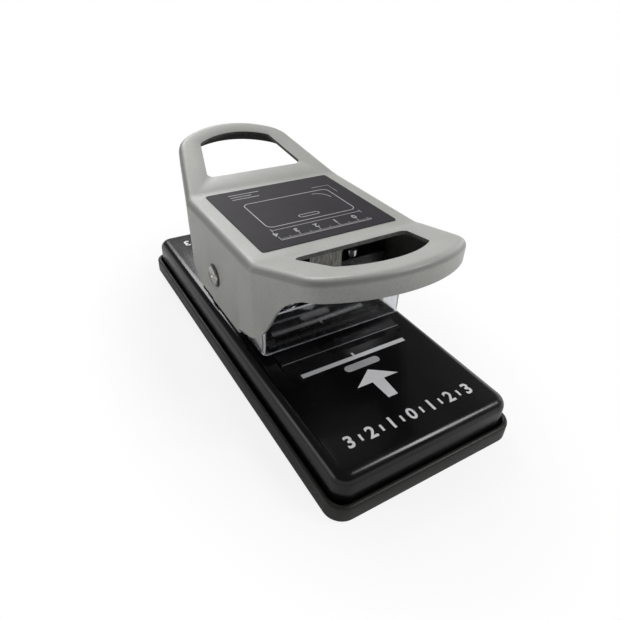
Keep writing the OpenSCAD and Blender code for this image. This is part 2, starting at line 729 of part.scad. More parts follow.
// Countersunk screws through the plate into the drive blocks
module drive_screws() color("silver") both_ends() for (i = [-1, 1])
    translate([i * drive_screw_x, arm, 0]) difference() {
        union() {
            translate([0, 0, plate_under_z - drive_screw_l])
                cylinder(r = drive_screw_d / 2, h = drive_screw_l + eps);
            countersink(0, 0);
        }
        translate([0, 0, handle_top_z - 0.9]) cylinder(r = 1, h = far, $fn = 6);
    }
module countersink(more, clear) {
    wide = drive_screw_d / 2 + sheet_t * 0.8;
    translate([0, 0, plate_under_z - more])
        cylinder(r1 = drive_screw_d / 2 + clear, r2 = wide + clear, h = sheet_t + 2 * more);
}

// One loop of the handle, solid: rounded along its upper edge and carried straight down
module loop_solid(bend, tilt, inset, edge, depth) {
    steps = 4;
    hull() {
        for (i = [0:steps]) let (a = 90 * i / steps)
            translate([0, bend, handle_top_z]) rotate([tilt, 0, 0])
                translate([0, 0, -inset - edge * (1 - sin(a)) - eps]) linear_extrude(eps)
                    offset(delta = -inset - edge * (1 - cos(a))) children();
        translate([0, bend, handle_top_z - depth]) rotate([tilt, 0, 0])
            translate([0, 0, -inset - edge]) linear_extrude(eps) offset(delta = -inset) children();
    }
}

// Middle of the handle, solid, between the two bends
module handle_middle(inset, edge) {
    w = handle_w - 2 * inset;
    high = handle_top_z - inset;
    translate([0, rear_bend, 0]) rotate([90, 0, 0]) linear_extrude(rear_bend + front_bend) {
        translate([-w / 2, 0]) square([w, high - edge]);
        translate([-w / 2 + edge, 0]) square([w - 2 * edge, high]);
        for (i = [-1, 1]) translate([i * (w / 2 - edge), high - edge]) circle(edge);
    }
}

// Side view of the handle, y from the pivot: lips, walls, and the arch under the front loop
module handle_profile() {
    front_tip_y = -front_bend - front_reach * cos(front_tilt);
    front_tip_z = handle_top_z + front_reach * sin(front_tilt) - front_lip;
    rear_tip_y = rear_bend + rear_reach * cos(rear_tilt);
    rear_tip_z = handle_top_z + rear_reach * sin(rear_tilt) - rear_lip;
    past = 10;                          // the outline runs past both tips
    toe = [-front_bend - 0.1, skirt_z + toe_rise];
    arch_run = 16.4;                    // from the front tip to where the arch meets the lip
    arch_end = [front_tip_y + arch_run, front_tip_z - arch_run * 0.232];
    arch_mid = toe + [-14.4, 15.8];
    arch = concat(
        curve_points([toe, toe + [-7, 3.2], toe + [-10.6, 8], arch_mid], 7),
        curve_points([arch_mid, arch_mid + [-5.2, 10.6], arch_end + [9, -5.2], arch_end], 9));
    heel = arc_points([rear_bend - 1.8 - heel_r, skirt_z + heel_r], heel_r, 0, -90, 8);
    rear_lip_root = curve_points([[rear_bend + 6, handle_top_z - 5.5], [rear_bend + 2, handle_top_z - 7],
                                  [rear_bend, handle_top_z - 9], [rear_bend - 0.6, handle_top_z - 15]], 5);
    polygon(concat(
        [[rear_tip_y + past, rear_tip_z + 3]],
        rear_lip_root,
        heel,
        [[tab_rear, skirt_z], [tab_rear - tab_drop, skirt_z - tab_drop], [tab_front, skirt_z - tab_drop],
         [tab_front - 0.5, skirt_z + toe_rise * 0.35], [tab_front - 6.5, skirt_z + toe_rise * 0.72]],
        arch,
        [[front_tip_y - past, front_tip_z + 2.3], [front_tip_y - past, far], [rear_tip_y + past, far]]));
}

module handle_shell() color(grey_paint) translate([0, pivot_y, 0]) difference() {
    intersection() {
        union() {
            handle_middle(0, handle_edge);
            mirror([0, 1, 0]) loop_solid(front_bend, front_tilt, 0, handle_edge, front_deep) front_outline();
            loop_solid(rear_bend, rear_tilt, 0, handle_edge, rear_deep) rear_outline();
        }
        rotate([90, 0, 90]) linear_extrude(2 * handle_w, center = true) handle_profile();
    }
    handle_middle(sheet_t, handle_edge - sheet_t);
    mirror([0, 1, 0])
        loop_solid(front_bend, front_tilt, sheet_t, handle_edge - sheet_t, front_deep + clear_deep)
            front_outline();
    loop_solid(rear_bend, rear_tilt, sheet_t, handle_edge - sheet_t, rear_deep + clear_deep) rear_outline();
    mirror([0, 1, 0]) translate([0, front_bend, handle_top_z]) rotate([front_tilt, 0, 0])
        linear_extrude(20, center = true) front_hole();
    translate([0, rear_bend, handle_top_z]) rotate([rear_tilt, 0, 0])
        linear_extrude(20, center = true) rear_hole();
    translate([0, 0, pivot_z]) cross_rod(bush_d / 2, handle_w);
    for (i = [-1, 1], j = [-1, 1]) translate([i * drive_screw_x, j * arm, 0])
        countersink(eps, fit);
}

// Bush in each wall, with a flange that fills the space to the side frame
module pivot_bushes() color(black) translate([0, pivot_y, pivot_z]) both_sides() difference() {
    union() {
        translate([frame_out + gap, 0, 0]) rotate([0, 90, 0])
            cylinder(r = bush_flange_d / 2, h = wall_in - frame_out - gap);
        translate([frame_out + gap, 0, 0]) rotate([0, 90, 0])
            cylinder(r = bush_d / 2, h = handle_w / 2 + 0.3 - frame_out - gap);
    }
    cross_rod(shaft_d / 2 + fit, far);
}

module label_plate() color([0.2, 0.2, 0.21]) {
    l = front_bend - label_front + rear_bend - label_rear;
    translate([0, pivot_y + (rear_bend - label_rear - front_bend + label_front) / 2, handle_top_z])
        linear_extrude(label_t) round_rect(handle_w - 2 * label_margin, l, 1.5);
}

chip_tray();
foot_pads();
base_cover();
base_plate();
slot_die_plate();
corner_die_plate();
slot_spacer();
corner_fence();
slot_guide_block();
corner_guide_block();
slot_block_screws();
corner_block_screws();
frame_left();
frame_right();
frame_screws();
front_guard();
rear_guard();
guard_screws();
pivot_shaft();
shaft_clips();
frame_spacer();
slot_posts();
corner_posts();
slot_springs();
corner_springs();
slot_crosshead();
slot_blade();
slot_pin();
corner_crosshead();
corner_blade();
corner_pin();
handle_shell();
pivot_bushes();
slot_drive_block();
corner_drive_block();
drive_screws();
label_plate();
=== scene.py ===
# %% [markdown]
# A desk punch for cards, dressed for a product photograph.
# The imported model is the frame: it says where every piece sits and which body it moves with.
# The machine is a glossy black base in a shallow tray, with a pressed grey handle that rocks on a shaft.
# Each cell below makes one piece or one finish, from a few named sizes in millimetres.

import math

import bmesh
import bpy
from mathutils import Matrix, Vector
from mathutils.geometry import intersect_point_line


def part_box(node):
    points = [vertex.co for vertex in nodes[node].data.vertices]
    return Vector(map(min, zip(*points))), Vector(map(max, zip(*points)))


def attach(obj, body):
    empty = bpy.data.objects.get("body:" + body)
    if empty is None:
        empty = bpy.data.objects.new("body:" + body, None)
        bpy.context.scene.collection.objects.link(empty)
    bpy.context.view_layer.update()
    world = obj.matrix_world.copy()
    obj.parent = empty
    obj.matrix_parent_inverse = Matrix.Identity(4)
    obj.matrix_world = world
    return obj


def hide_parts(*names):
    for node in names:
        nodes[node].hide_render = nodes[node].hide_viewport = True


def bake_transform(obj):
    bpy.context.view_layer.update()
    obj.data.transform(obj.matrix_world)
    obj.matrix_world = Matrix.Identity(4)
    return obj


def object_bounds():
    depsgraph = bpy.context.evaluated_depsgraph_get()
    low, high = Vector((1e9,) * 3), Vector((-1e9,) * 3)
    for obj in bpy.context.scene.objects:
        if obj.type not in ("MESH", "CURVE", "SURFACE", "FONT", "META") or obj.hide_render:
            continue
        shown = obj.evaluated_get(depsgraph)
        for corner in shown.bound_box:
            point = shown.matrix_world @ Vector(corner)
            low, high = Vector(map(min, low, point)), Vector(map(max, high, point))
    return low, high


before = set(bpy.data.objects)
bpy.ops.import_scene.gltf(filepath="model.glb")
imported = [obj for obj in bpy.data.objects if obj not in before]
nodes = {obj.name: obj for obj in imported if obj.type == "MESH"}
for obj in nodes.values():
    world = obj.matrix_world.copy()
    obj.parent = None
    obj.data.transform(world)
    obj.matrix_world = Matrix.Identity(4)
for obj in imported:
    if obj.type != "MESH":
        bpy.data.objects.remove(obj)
cad_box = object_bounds()
MM = 0.001

# %% [markdown]
# The camera comes first, because every later choice is judged through it.
# Its bearing, height and roll were solved from the tray's corners and the handle's straight edges.
# A short lens close to the object gives the strong perspective of a picture taken by hand.

# %% Camera
VIEW_BEARING = math.radians(-31.92)
VIEW_HEIGHT = math.radians(35.22)
VIEW_ROLL = math.radians(2.35)
EYE = Vector((-0.11253, -0.19029, 0.17157))
LENS_MM = 29.97
SENSOR_MM = 36
LENS_SHIFT = 0.0024


def camera_axes(bearing, height, roll):
    """Right, up and back of a camera that looks at the machine from a bearing and a height."""
    right = Vector((math.cos(bearing), math.sin(bearing), 0))
    level = Vector((math.sin(bearing), -math.cos(bearing), 0))
    back = level * math.cos(height) + Vector((0, 0, math.sin(height)))
    up = back.cross(right)
    return right * math.cos(roll) + up * math.sin(roll), up * math.cos(roll) - right * math.sin(roll), back


right, up, back = camera_axes(VIEW_BEARING, VIEW_HEIGHT, VIEW_ROLL)
camera_data = bpy.data.cameras.new("camera")
camera_data.lens = LENS_MM
camera_data.sensor_width = SENSOR_MM
camera_data.shift_y = LENS_SHIFT
camera_data.clip_start = 0.01
camera = bpy.data.objects.new("camera", camera_data)
bpy.context.scene.collection.objects.link(camera)
camera.matrix_world = Matrix.Translation(EYE) @ Matrix((right, up, back)).transposed().to_4x4()
bpy.context.scene.camera = camera
bpy.context.scene.view_settings.view_transform = "Standard"
print("camera at", [round(v, 3) for v in EYE])

# %% [markdown]
# Places and sizes are read from the frame wherever it holds them, so the pieces meet the solids exactly.
# What the frame can't tell, such as the radius of a fold, is a value in millimetres here.

# %% Places from the frame
cover_low, cover_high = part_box("base_cover")
tray_low, tray_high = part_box("chip_tray")
label_low, label_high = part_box("label_plate")
shaft_low, shaft_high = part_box("pivot_shaft")
bush_low, bush_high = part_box("pivot_bushes")
pivot = (shaft_low + shaft_high) / 2
shaft_r = (shaft_high.z - shaft_low.z) / 2
plate_z = label_low.z
half_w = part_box("handle_shell")[1].x
print("pivot at", [round(v * 1000, 2) for v in pivot], "handle plate at", round(plate_z * 1000, 2))

# %% [markdown]
# Small helpers carry every material. They turn a written colour into linear light, add a shader node
# with its settings and links, start a material, and make noise whose grain is a size in millimetres.

# %% Material helpers
def hex_linear(code):
    """A written sRGB colour as the linear values that the shader wants."""
    parts = [int(code[i:i + 2], 16) / 255 for i in (1, 3, 5)]
    return tuple(c / 12.92 if c <= 0.04045 else ((c + 0.055) / 1.055) ** 2.4 for c in parts) + (1,)


def add(tree, kind, settings=None, **links):
    """Adds a node. A link is an output socket or a plain value, named for its input."""
    node = tree.nodes.new(kind)
    for name, value in (settings or {}).items():
        setattr(node, name, value)
    for name, value in links.items():
        socket = node.inputs[int(name[1:])] if name[0] == "_" else node.inputs[name.replace("_", " ")]
        if isinstance(value, bpy.types.NodeSocket):
            tree.links.new(value, socket)
        else:
            socket.default_value = value
    return node


def start_material(name, **values):
    """A new material: its tree, its main shader, and the Object coordinates in metres."""
    material = bpy.data.materials.new(name)
    material.use_nodes = True
    tree = material.node_tree
    shader = tree.nodes["Principled BSDF"]
    for key, value in values.items():
        shader.inputs[key.replace("_", " ")].default_value = value
    place = tree.nodes.new("ShaderNodeTexCoord").outputs["Object"]
    return material, tree, shader, place


def noise(tree, place, size_mm, detail=3, rough=0.5, stretch=(1, 1, 1)):
    """Noise whose grain is about size_mm across, longer along an axis whose stretch is under 1."""
    scale = Vector(stretch) / (size_mm * MM)
    moved = add(tree, "ShaderNodeMapping", Vector=place, Scale=scale)
    return add(tree, "ShaderNodeTexNoise", Vector=moved.outputs[0], Scale=1.0, Detail=detail,
               Roughness=rough).outputs[0]


def between(tree, factor, low, high, start=0.0, end=1.0):
    """Maps a factor from start..end to low..high."""
    return add(tree, "ShaderNodeMapRange", Value=factor, From_Min=start, From_Max=end,
               To_Min=low, To_Max=high).outputs[0]


def mixed(tree, factor, first, second):
    """Mixes two colours by a factor."""
    mix = add(tree, "ShaderNodeMix", {"data_type": "RGBA"}, _0=factor)
    for socket, value in ((mix.inputs[6], first), (mix.inputs[7], second)):
        if isinstance(value, bpy.types.NodeSocket):
            tree.links.new(value, socket)
        else:
            socket.default_value = value
    return mix.outputs[2]


def bumped(tree, shader, height, depth_mm, strength=1.0, normal=None):
    """Lets a height field tilt the surface by a real depth."""
    bump = add(tree, "ShaderNodeBump", Height=height, Distance=depth_mm * MM, Strength=strength)
    if normal is not None:
        tree.links.new(normal, bump.inputs["Normal"])
    tree.links.new(bump.outputs[0], shader.inputs["Normal"])


# %% [markdown]
# The handle is pressed steel with a light grey powder coat, sprayed and baked.
# Powder melts into a fine orange peel with grains of about 0.8 mm, and it rounds every edge.
# The coat is satin: a broad soft highlight with no mirror image. The folded rim gets a painted shade,
# a darker colour mixed in where the rim's slope is between flat and upright.

# %% Powder coat
def powder_coat(name, pale, dark, painted_rim_shade, rim_shade_share, roughness):
    material, tree, shader, place = start_material(name, Roughness=roughness, IOR=1.5)
    cloud = noise(tree, place, 22, 2)
    speck = noise(tree, place, 0.8, 2, 0.6)
    tone = mixed(tree, between(tree, cloud, 0, 1, 0.35, 0.65), hex_linear(dark), hex_linear(pale))
    fleck = mixed(tree, between(tree, speck, 0, 0.4, 0.5, 0.75), tone, hex_linear("#92928D"))
    # Painted shade: where the slope is between flat and upright, the rim is mixed towards a darker colour.
    slope = add(tree, "ShaderNodeSeparateXYZ", Vector=place.node.outputs["Normal"]).outputs[2]
    rising = between(tree, slope, 0, rim_shade_share, 0.02, 0.3)
    falling = between(tree, slope, 1, 0, 0.6, 0.92)
    rim_shade_band = add(tree, "ShaderNodeMath", {"operation": "MULTIPLY"}, _0=rising, _1=falling).outputs[0]
    tree.links.new(mixed(tree, rim_shade_band, fleck, hex_linear(painted_rim_shade)), shader.inputs["Base Color"])
    tree.links.new(between(tree, cloud, roughness - 0.05, roughness + 0.05, 0.3, 0.7),
                   shader.inputs["Roughness"])
    bumped(tree, shader, speck, 0.05, 0.8)
    return material


# The third colour is the painted shade on the folded rim.
handle_paint = powder_coat("powder_coat_grey", "#B5B6B1", "#AEAFAA", "#787974", 0.62, 0.44)
# The inside is the same coat painted darker: painted shade inside the pressing and on the finger holes' cut
# edges.
handle_inside_shade = powder_coat("powder_coat_inside_shade", "#4C4C48", "#3F3F3C", "#3F3F3C", 0, 0.6)

# %% [markdown]
# The cover is injection moulded ABS in gloss black. Such a part mirrors the room, a little blurred by
# fine scratches from wiping, so its roughness varies in soft patches and its colour hardly does.
# The tray is softer plastic with a matt grain that catches light as dark grey.

# %% Moulded plastics
def gloss_abs():
    material, tree, shader, place = start_material("gloss_abs_black", IOR=1.53, Specular_IOR_Level=0.3)
    smear = noise(tree, place, 34, 3, 0.55, (1, 0.45, 1))
    scratch = noise(tree, place, 0.9, 2, 0.6, (1, 0.06, 1))
    tone = mixed(tree, between(tree, smear, 0, 1, 0.35, 0.7), hex_linear("#0B0B0D"), hex_linear("#131315"))
    tree.links.new(tone, shader.inputs["Base Color"])
    tree.links.new(between(tree, smear, 0.14, 0.27, 0.3, 0.7), shader.inputs["Roughness"])
    bumped(tree, shader, scratch, 0.004, 0.35)
    return material


def grained_plastic(name, pale, dark, roughness, grain_mm, depth_mm, gloss=0.5):
    material, tree, shader, place = start_material(name, IOR=1.5, Specular_IOR_Level=gloss)
    cloud = noise(tree, place, 16, 3)
    grain = noise(tree, place, grain_mm, 2, 0.6)
    tone = mixed(tree, between(tree, cloud, 0, 1, 0.3, 0.7), hex_linear(dark), hex_linear(pale))
    tree.links.new(tone, shader.inputs["Base Color"])
    tree.links.new(between(tree, grain, roughness - 0.06, roughness + 0.08, 0.3, 0.7),
                   shader.inputs["Roughness"])
    bumped(tree, shader, grain, depth_mm, 0.7)
    return material


cover_plastic = gloss_abs()
tray_plastic = grained_plastic("grained_pp_black", "#2A2A28", "#222220", 0.42, 0.5, 0.03, 0.3)
foot_rubber = grained_plastic("foot_rubber", "#2B2B2B", "#222222", 0.8, 0.6, 0.04)
bush_nylon = grained_plastic("bush_nylon", "#222224", "#1A1A1C", 0.45, 0.4, 0.01)
label_vinyl = grained_plastic("label_vinyl", "#363338", "#302D32", 0.5, 0.35, 0.006, 0.1)
print_ink = grained_plastic("print_ink_white", "#F4F4F6", "#E8E8EA", 0.5, 0.3, 0.004)
mark_ink = grained_plastic("mark_ink_grey", "#BEBEC0", "#AEAEB0", 0.5, 0.3, 0.004)
label_ink = grained_plastic("label_ink_grey", "#BDBDBF", "#A9A9AC", 0.5, 0.3, 0.004)

# %% [markdown]
# Bare steel shows how it was made. Ground plates carry short fine lines, sawn blocks carry coarser ones,
# drawn posts are polished, and blackened steel is an oxide that leaves a deep satin black.
# One function makes them all: a metal base, and lines of a stated width that run along one axis.

# %% Steels
def lined_steel(name, pale, dark, roughness, line_mm, depth_mm, along, spread=0.08):
    """Steel with tool marks of line_mm width that run along the axis whose stretch is small."""
    material, tree, shader, place = start_material(name, Metallic=1.0)
    lines = noise(tree, place, line_mm, 3, 0.65, along)
    patch = noise(tree, place, 7, 2)
    shade = mixed(tree, between(tree, lines, 0, 1, 0.32, 0.68), hex_linear(dark), hex_linear(pale))
    tree.links.new(shade, shader.inputs["Base Color"])
    tree.links.new(between(tree, patch, roughness - spread, roughness + spread, 0.3, 0.7),
                   shader.inputs["Roughness"])
    bumped(tree, shader, lines, depth_mm, 0.6)
    return material


ground_steel = lined_steel("ground_steel", "#B4B4B6", "#8C8C90", 0.32, 0.25, 0.006, (1, 0.05, 1))
sawn_steel = lined_steel("sawn_steel", "#A7A69F", "#5D5C58", 0.5, 0.45, 0.03, (1, 1, 0.12), 0.14)
chromed_steel = lined_steel("chromed_steel", "#D8D8DA", "#C6C6C9", 0.1, 0.2, 0.001, (1, 1, 0.05), 0.03)
turned_steel = lined_steel("turned_steel", "#C9C6BF", "#7E7C77", 0.26, 0.5, 0.006, (1, 1, 0.25), 0.1)
spring_steel = lined_steel("spring_wire", "#B2B2B4", "#8E8E92", 0.25, 0.2, 0.002, (1, 1, 0.3))
zinc_steel = lined_steel("zinc_plated_steel", "#8E8E90", "#68686B", 0.35, 0.3, 0.004, (1, 1, 1))


def blackened_steel(name, gloss, polish_and_highlight_at=None):
    """Black oxide. The third argument is how far from the pivot a bright band is painted along an edge, for its
    polish and a painted highlight, in metres.
    """
    material, tree, shader, place = start_material(name, Specular_IOR_Level=gloss)
    lines = noise(tree, place, 0.3, 2, 0.6, (0.05, 1, 1))
    patch = noise(tree, place, 9, 2)
    black = mixed(tree, between(tree, patch, 0, 1, 0.3, 0.7), hex_linear("#0F0F11"), hex_linear("#1A1A1D"))
    # A bright band at a set distance from the pivot: polish, and a painted highlight.
    if polish_and_highlight_at is not None:
        split = add(tree, "ShaderNodeSeparateXYZ", Vector=place)
        along = add(tree, "ShaderNodeMath", {"operation": "SUBTRACT"}, _0=split.outputs[1], _1=pivot.y)
        away = add(tree, "ShaderNodeMath", {"operation": "ABSOLUTE"}, _0=along.outputs[0])
        bright_band = add(tree, "ShaderNodeMath", {"operation": "COMPARE"}, _0=away.outputs[0], _1=polish_and_highlight_at,
                  _2=HIGHLIGHT_HALF * MM)
        black = mixed(tree, bright_band.outputs[0], black, hex_linear("#B9B9BC"))
    tree.links.new(black, shader.inputs["Base Color"])
    tree.links.new(between(tree, patch, 0.2, 0.36, 0.3, 0.7), shader.inputs["Roughness"])
    bumped(tree, shader, lines, 0.004, 0.4)
    return material


DIE_LEAD = 2.6
HIGHLIGHT_HALF = 0.12
# The die's lead-in edge gets the bright band: its polish and a painted highlight.
polish_and_highlight_at = pivot.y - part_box("slot_die_plate")[0].y - DIE_LEAD * MM
block_black = blackened_steel("black_oxide_block", 0.4)
die_black = blackened_steel("black_oxide_die", 0.15, polish_and_highlight_at)
frame_black = grained_plastic("black_enamel", "#17171A", "#101012", 0.28, 0.5, 0.006)

# %% [markdown]
# The guards are bent from clear acrylic sheet. Its sawn cut edges are frosted, and the light that they gather
# is painted on them as a pale glow.
# Acrylic has an index of 1.49. The photographed sheet mirrors the print on the cover quite clearly,
# as sheet with a scratch-proof hard coat does. The flat faces and the cut edges get a material each.

# %% Clear acrylic
def clear_acrylic():
    material, tree, shader, place = start_material(
        "clear_acrylic", IOR=1.49, Transmission_Weight=1.0,
        Coat_Weight=1.0, Coat_IOR=1.9, Coat_Roughness=0.06)
    shader.inputs["Base Color"].default_value = hex_linear("#F1F2F5")
    haze = noise(tree, place, 12, 2)
    tree.links.new(between(tree, haze, 0.0, 0.05, 0.45, 0.7), shader.inputs["Roughness"])
    return material


# The cut edge is opaque and pale: its frost, and a painted glow of gathered light.
def acrylic_edge():
    material, tree, shader, place = start_material("acrylic_cut_edge_painted_glow", IOR=1.49, Roughness=0.35)
    saw = noise(tree, place, 0.3, 2, 0.6, (1, 1, 0.2))
    tone = mixed(tree, saw, hex_linear("#C9CDD6"), hex_linear("#EEF0F4"))
    tree.links.new(tone, shader.inputs["Base Color"])
    return material


acrylic = clear_acrylic()
acrylic_rim_painted_glow = acrylic_edge()

# %% [markdown]
# Next come the helpers for shapes. A bmesh becomes an object at the origin with its place in its mesh.
# Modifiers are applied at once, so the mesh holds what is seen. UP, ACROSS and CUT_REACH serve the
# lathe: its axes, and how far a round cut runs through both sides.

# %% Shape helpers
UP = Vector((0, 0, 1))
ACROSS = Vector((1, 0, 0))
CUT_REACH = 60


def make_object(name, bm, materials, sharp_deg=35):
    """Turns a bmesh into a finished object with smooth faces and creases over sharp_deg."""
    mesh = bpy.data.meshes.new(name)
    bm.to_mesh(mesh)
    bm.free()
    for material in materials:
        mesh.materials.append(material)
    piece = bpy.data.objects.new(name, mesh)
    bpy.context.scene.collection.objects.link(piece)
    soften(mesh, sharp_deg)
    return piece


def soften(mesh, sharp_deg):
    mesh.polygons.foreach_set("use_smooth", [True] * len(mesh.polygons))
    mesh.set_sharp_from_angle(angle=math.radians(sharp_deg))
    mesh.update()


def apply_modifiers(piece, sharp_deg=35):
    """Replaces the mesh by its evaluated copy and drops the modifiers."""
    shown = piece.evaluated_get(bpy.context.evaluated_depsgraph_get())
    mesh = bpy.data.meshes.new_from_object(shown)
    piece.modifiers.clear()
    piece.data = mesh
    soften(mesh, sharp_deg)


def dress(piece, body, replaced=()):
    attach(piece, body)
    if replaced:
        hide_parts(*replaced)
    return piece


def arc(cx, cy, r, start, end, steps):
    """Points on an arc, in degrees, from start to end."""
    turns = [math.radians(start + (end - start) * i / steps) for i in range(steps + 1)]
    return [(cx + r * math.cos(a), cy + r * math.sin(a)) for a in turns]


def round_rect(w, l, r, steps=6):
    """Outline of a rectangle with round corners, about the origin."""
    corners = ((w / 2 - r, l / 2 - r, 0), (r - w / 2, l / 2 - r, 90),
               (r - w / 2, r - l / 2, 180), (w / 2 - r, r - l / 2, 270))
    return [p for x, y, a in corners for p in arc(x, y, r, a, a + 90, steps)]


def lathe(bm, profile, origin, axis, steps=64):
    """Spins a profile of (distance along axis, radius) points round an axis into a closed skin."""
    side = axis.orthogonal().normalized()
    line = [bm.verts.new(origin + axis * d * MM + side * r * MM) for d, r in profile]
    edges = [bm.edges.new(pair) for pair in zip(line, line[1:])]
    bmesh.ops.spin(bm, geom=line + edges, cent=origin, axis=axis, angle=math.tau, steps=steps, use_merge=True)
    bmesh.ops.remove_doubles(bm, verts=bm.verts, dist=0.002 * MM)
    bmesh.ops.recalc_face_normals(bm, faces=bm.faces)


def rod_profile(r):
    """The lathe profile of a long rod, to cut a round hole through both sides."""
    return [(-CUT_REACH, 0), (-CUT_REACH, r), (CUT_REACH, r), (CUT_REACH, 0)]


def closed_loop(bm, points, z):
    """A closed line through points in millimetres. Returns its edges."""
    loop = [bm.verts.new((x * MM, y * MM, z)) for x, y in points]
    return [bm.edges.new(pair) for pair in zip(loop, loop[1:] + loop[:1])]


def plate_from(bm, outline, low, thick, holes=()):
    """A flat plate from outlines in millimetres, filled between them and made thick upwards."""
    edges = [edge for points in (outline, *holes) for edge in closed_loop(bm, points, low)]
    made = bmesh.ops.triangle_fill(bm, use_beauty=True, edges=edges)
    faces = [g for g in made["geom"] if isinstance(g, bmesh.types.BMFace)]
    raised = bmesh.ops.extrude_face_region(bm, geom=faces)
    top = [g for g in raised["geom"] if isinstance(g, bmesh.types.BMVert)]
    bmesh.ops.translate(bm, verts=top, vec=(0, 0, thick))


# %% [markdown]
# The cover is one soft box: a block with round corners in plan and a generous fillet round its top.
# Bevelling a cube in that order, first the upright edges and then the top loop, gives even quads,
# which a glossy surface needs because every flaw would show in its reflections.
# Its underside is hollow. Bosses in its corners drop over the tray's studs, and short ribs carry the plate.

# %% Base cover
COVER_CORNER = 7
COVER_FILLET = 4.6
COVER_WALL = 2.0
PLATE_GAP = 2.7
WINDOW_PLAY = Vector((0.3, 0.3, 1.5)) * MM
BOSS_R = 4.5
BOSS_HOLE_R = 2.8
BOSS_LIFT = 0.7
BOSS_INSET = 12.5
RIB_HALF = 0.75
RIB_PLACES = (-1.5, -0.5, 0.5, 1.5)
boss_x = tray_high.x - BOSS_INSET * MM
boss_y = tray_high.y - BOSS_INSET * MM


def block(bm, low, high):
    """A cube between two corners. Returns its new geometry."""
    made = bmesh.ops.create_cube(bm, size=1)["verts"]
    bmesh.ops.scale(bm, verts=made, vec=high - low)
    bmesh.ops.translate(bm, verts=made, vec=(low + high) / 2)
    return made


def bevel_edges(bm, edges, radius_mm, segments, clamp=True):
    return bmesh.ops.bevel(bm, geom=edges, offset=radius_mm * MM, offset_type="OFFSET", segments=segments,
                           profile=0.5, affect="EDGES", material=-1, clamp_overlap=clamp)


def upright_edges(bm):
    return [e for e in bm.edges if abs((e.verts[0].co - e.verts[1].co).normalized().z) > 0.99]


def loop_at(bm, z):
    """The outline edges at a height."""
    return [e for e in bm.edges if all(abs(v.co.z - z) < 0.01 * MM for v in e.verts)
            and any(abs(f.normal.z) < 0.5 for f in e.link_faces)]


def add_modifier(piece, name, kind, **values):
    modifier = piece.modifiers.new(name, kind)
    for key, value in values.items():
        setattr(modifier, key, value)
    return modifier


def cutter(name, bm):
    """A hidden shape that another piece is cut with."""
    shape = make_object(name, bm, [])
    shape.hide_render = True
    return shape


def cut(piece, cutters):
    for shape in cutters:
        add_modifier(piece, "cut", "BOOLEAN", operation="DIFFERENCE", object=shape, solver="EXACT")
    apply_modifiers(piece)
    for shape in cutters:
        bpy.data.objects.remove(shape)


def base_cover():
    bm = bmesh.new()
    block(bm, cover_low, cover_high)
    bevel_edges(bm, upright_edges(bm), COVER_CORNER, 10)
    bevel_edges(bm, loop_at(bm, cover_high.z), COVER_FILLET, 8)
    bottom = [f for f in bm.faces if f.normal.z < -0.99]
    bmesh.ops.delete(bm, geom=bottom, context="FACES_ONLY")
    piece = make_object("cover_shell", bm, [cover_plastic], 50)
    add_modifier(piece, "wall", "SOLIDIFY", thickness=COVER_WALL * MM, offset=-1, use_even_offset=True)
    apply_modifiers(piece, 50)
    windows = []
    for die in ("slot_die_plate", "corner_die_plate"):
        low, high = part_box(die)
        bm = bmesh.new()
        block(bm, low - WINDOW_PLAY, high + WINDOW_PLAY)
        windows.append(cutter("window_" + die, bm))
    cut(piece, windows)
    bm = bmesh.new()
    bm.from_mesh(piece.data)
    inner_top = cover_high.z - COVER_WALL * MM
    for i in (-1, 1):
        for j in (-1, 1):
            foot = Vector((i * boss_x, j * boss_y, cover_low.z + BOSS_LIFT * MM))
            tall = (inner_top - foot.z) / MM
            lathe(bm, [(0, BOSS_HOLE_R), (0, BOSS_R), (tall, BOSS_R), (tall, BOSS_HOLE_R), (0, BOSS_HOLE_R)],
                  foot, UP, 32)
    wall_x = cover_high.x - COVER_WALL * MM
    for side in (-1, 1):
        near, away = sorted((side * (wall_x - PLATE_GAP * MM), side * wall_x))
        for j in RIB_PLACES:
            y = j * (cover_high.y - cover_low.y) / (len(RIB_PLACES) + 1)
            block(bm, Vector((near, y - RIB_HALF * MM, tray_high.z)),
                  Vector((away, y + RIB_HALF * MM, inner_top)))
    bm.to_mesh(piece.data)
    bm.free()
    soften(piece.data, 50)
    return dress(piece, "base", ["base_cover"])


cover = base_cover()
print("cover faces:", len(cover.data.polygons))

# %% [markdown]
# The tray that catches the chips is a shallow moulded dish. Its rim is rounded, its floor is ribbed,
# and four studs locate the machine. The dish is an inset and a downward extrude of the block's top.

# %% Chip tray
TRAY_CORNER = 8
TRAY_WALL = 2.4
TRAY_FLOOR_TOP = 2.4
TRAY_RIM = 1.2
TRAY_FOOT = 0.5
RIB_TOP = 4.8
STUD_R = 2.5
STUD_TIP = 0.6
STUD_DROP = 0.4


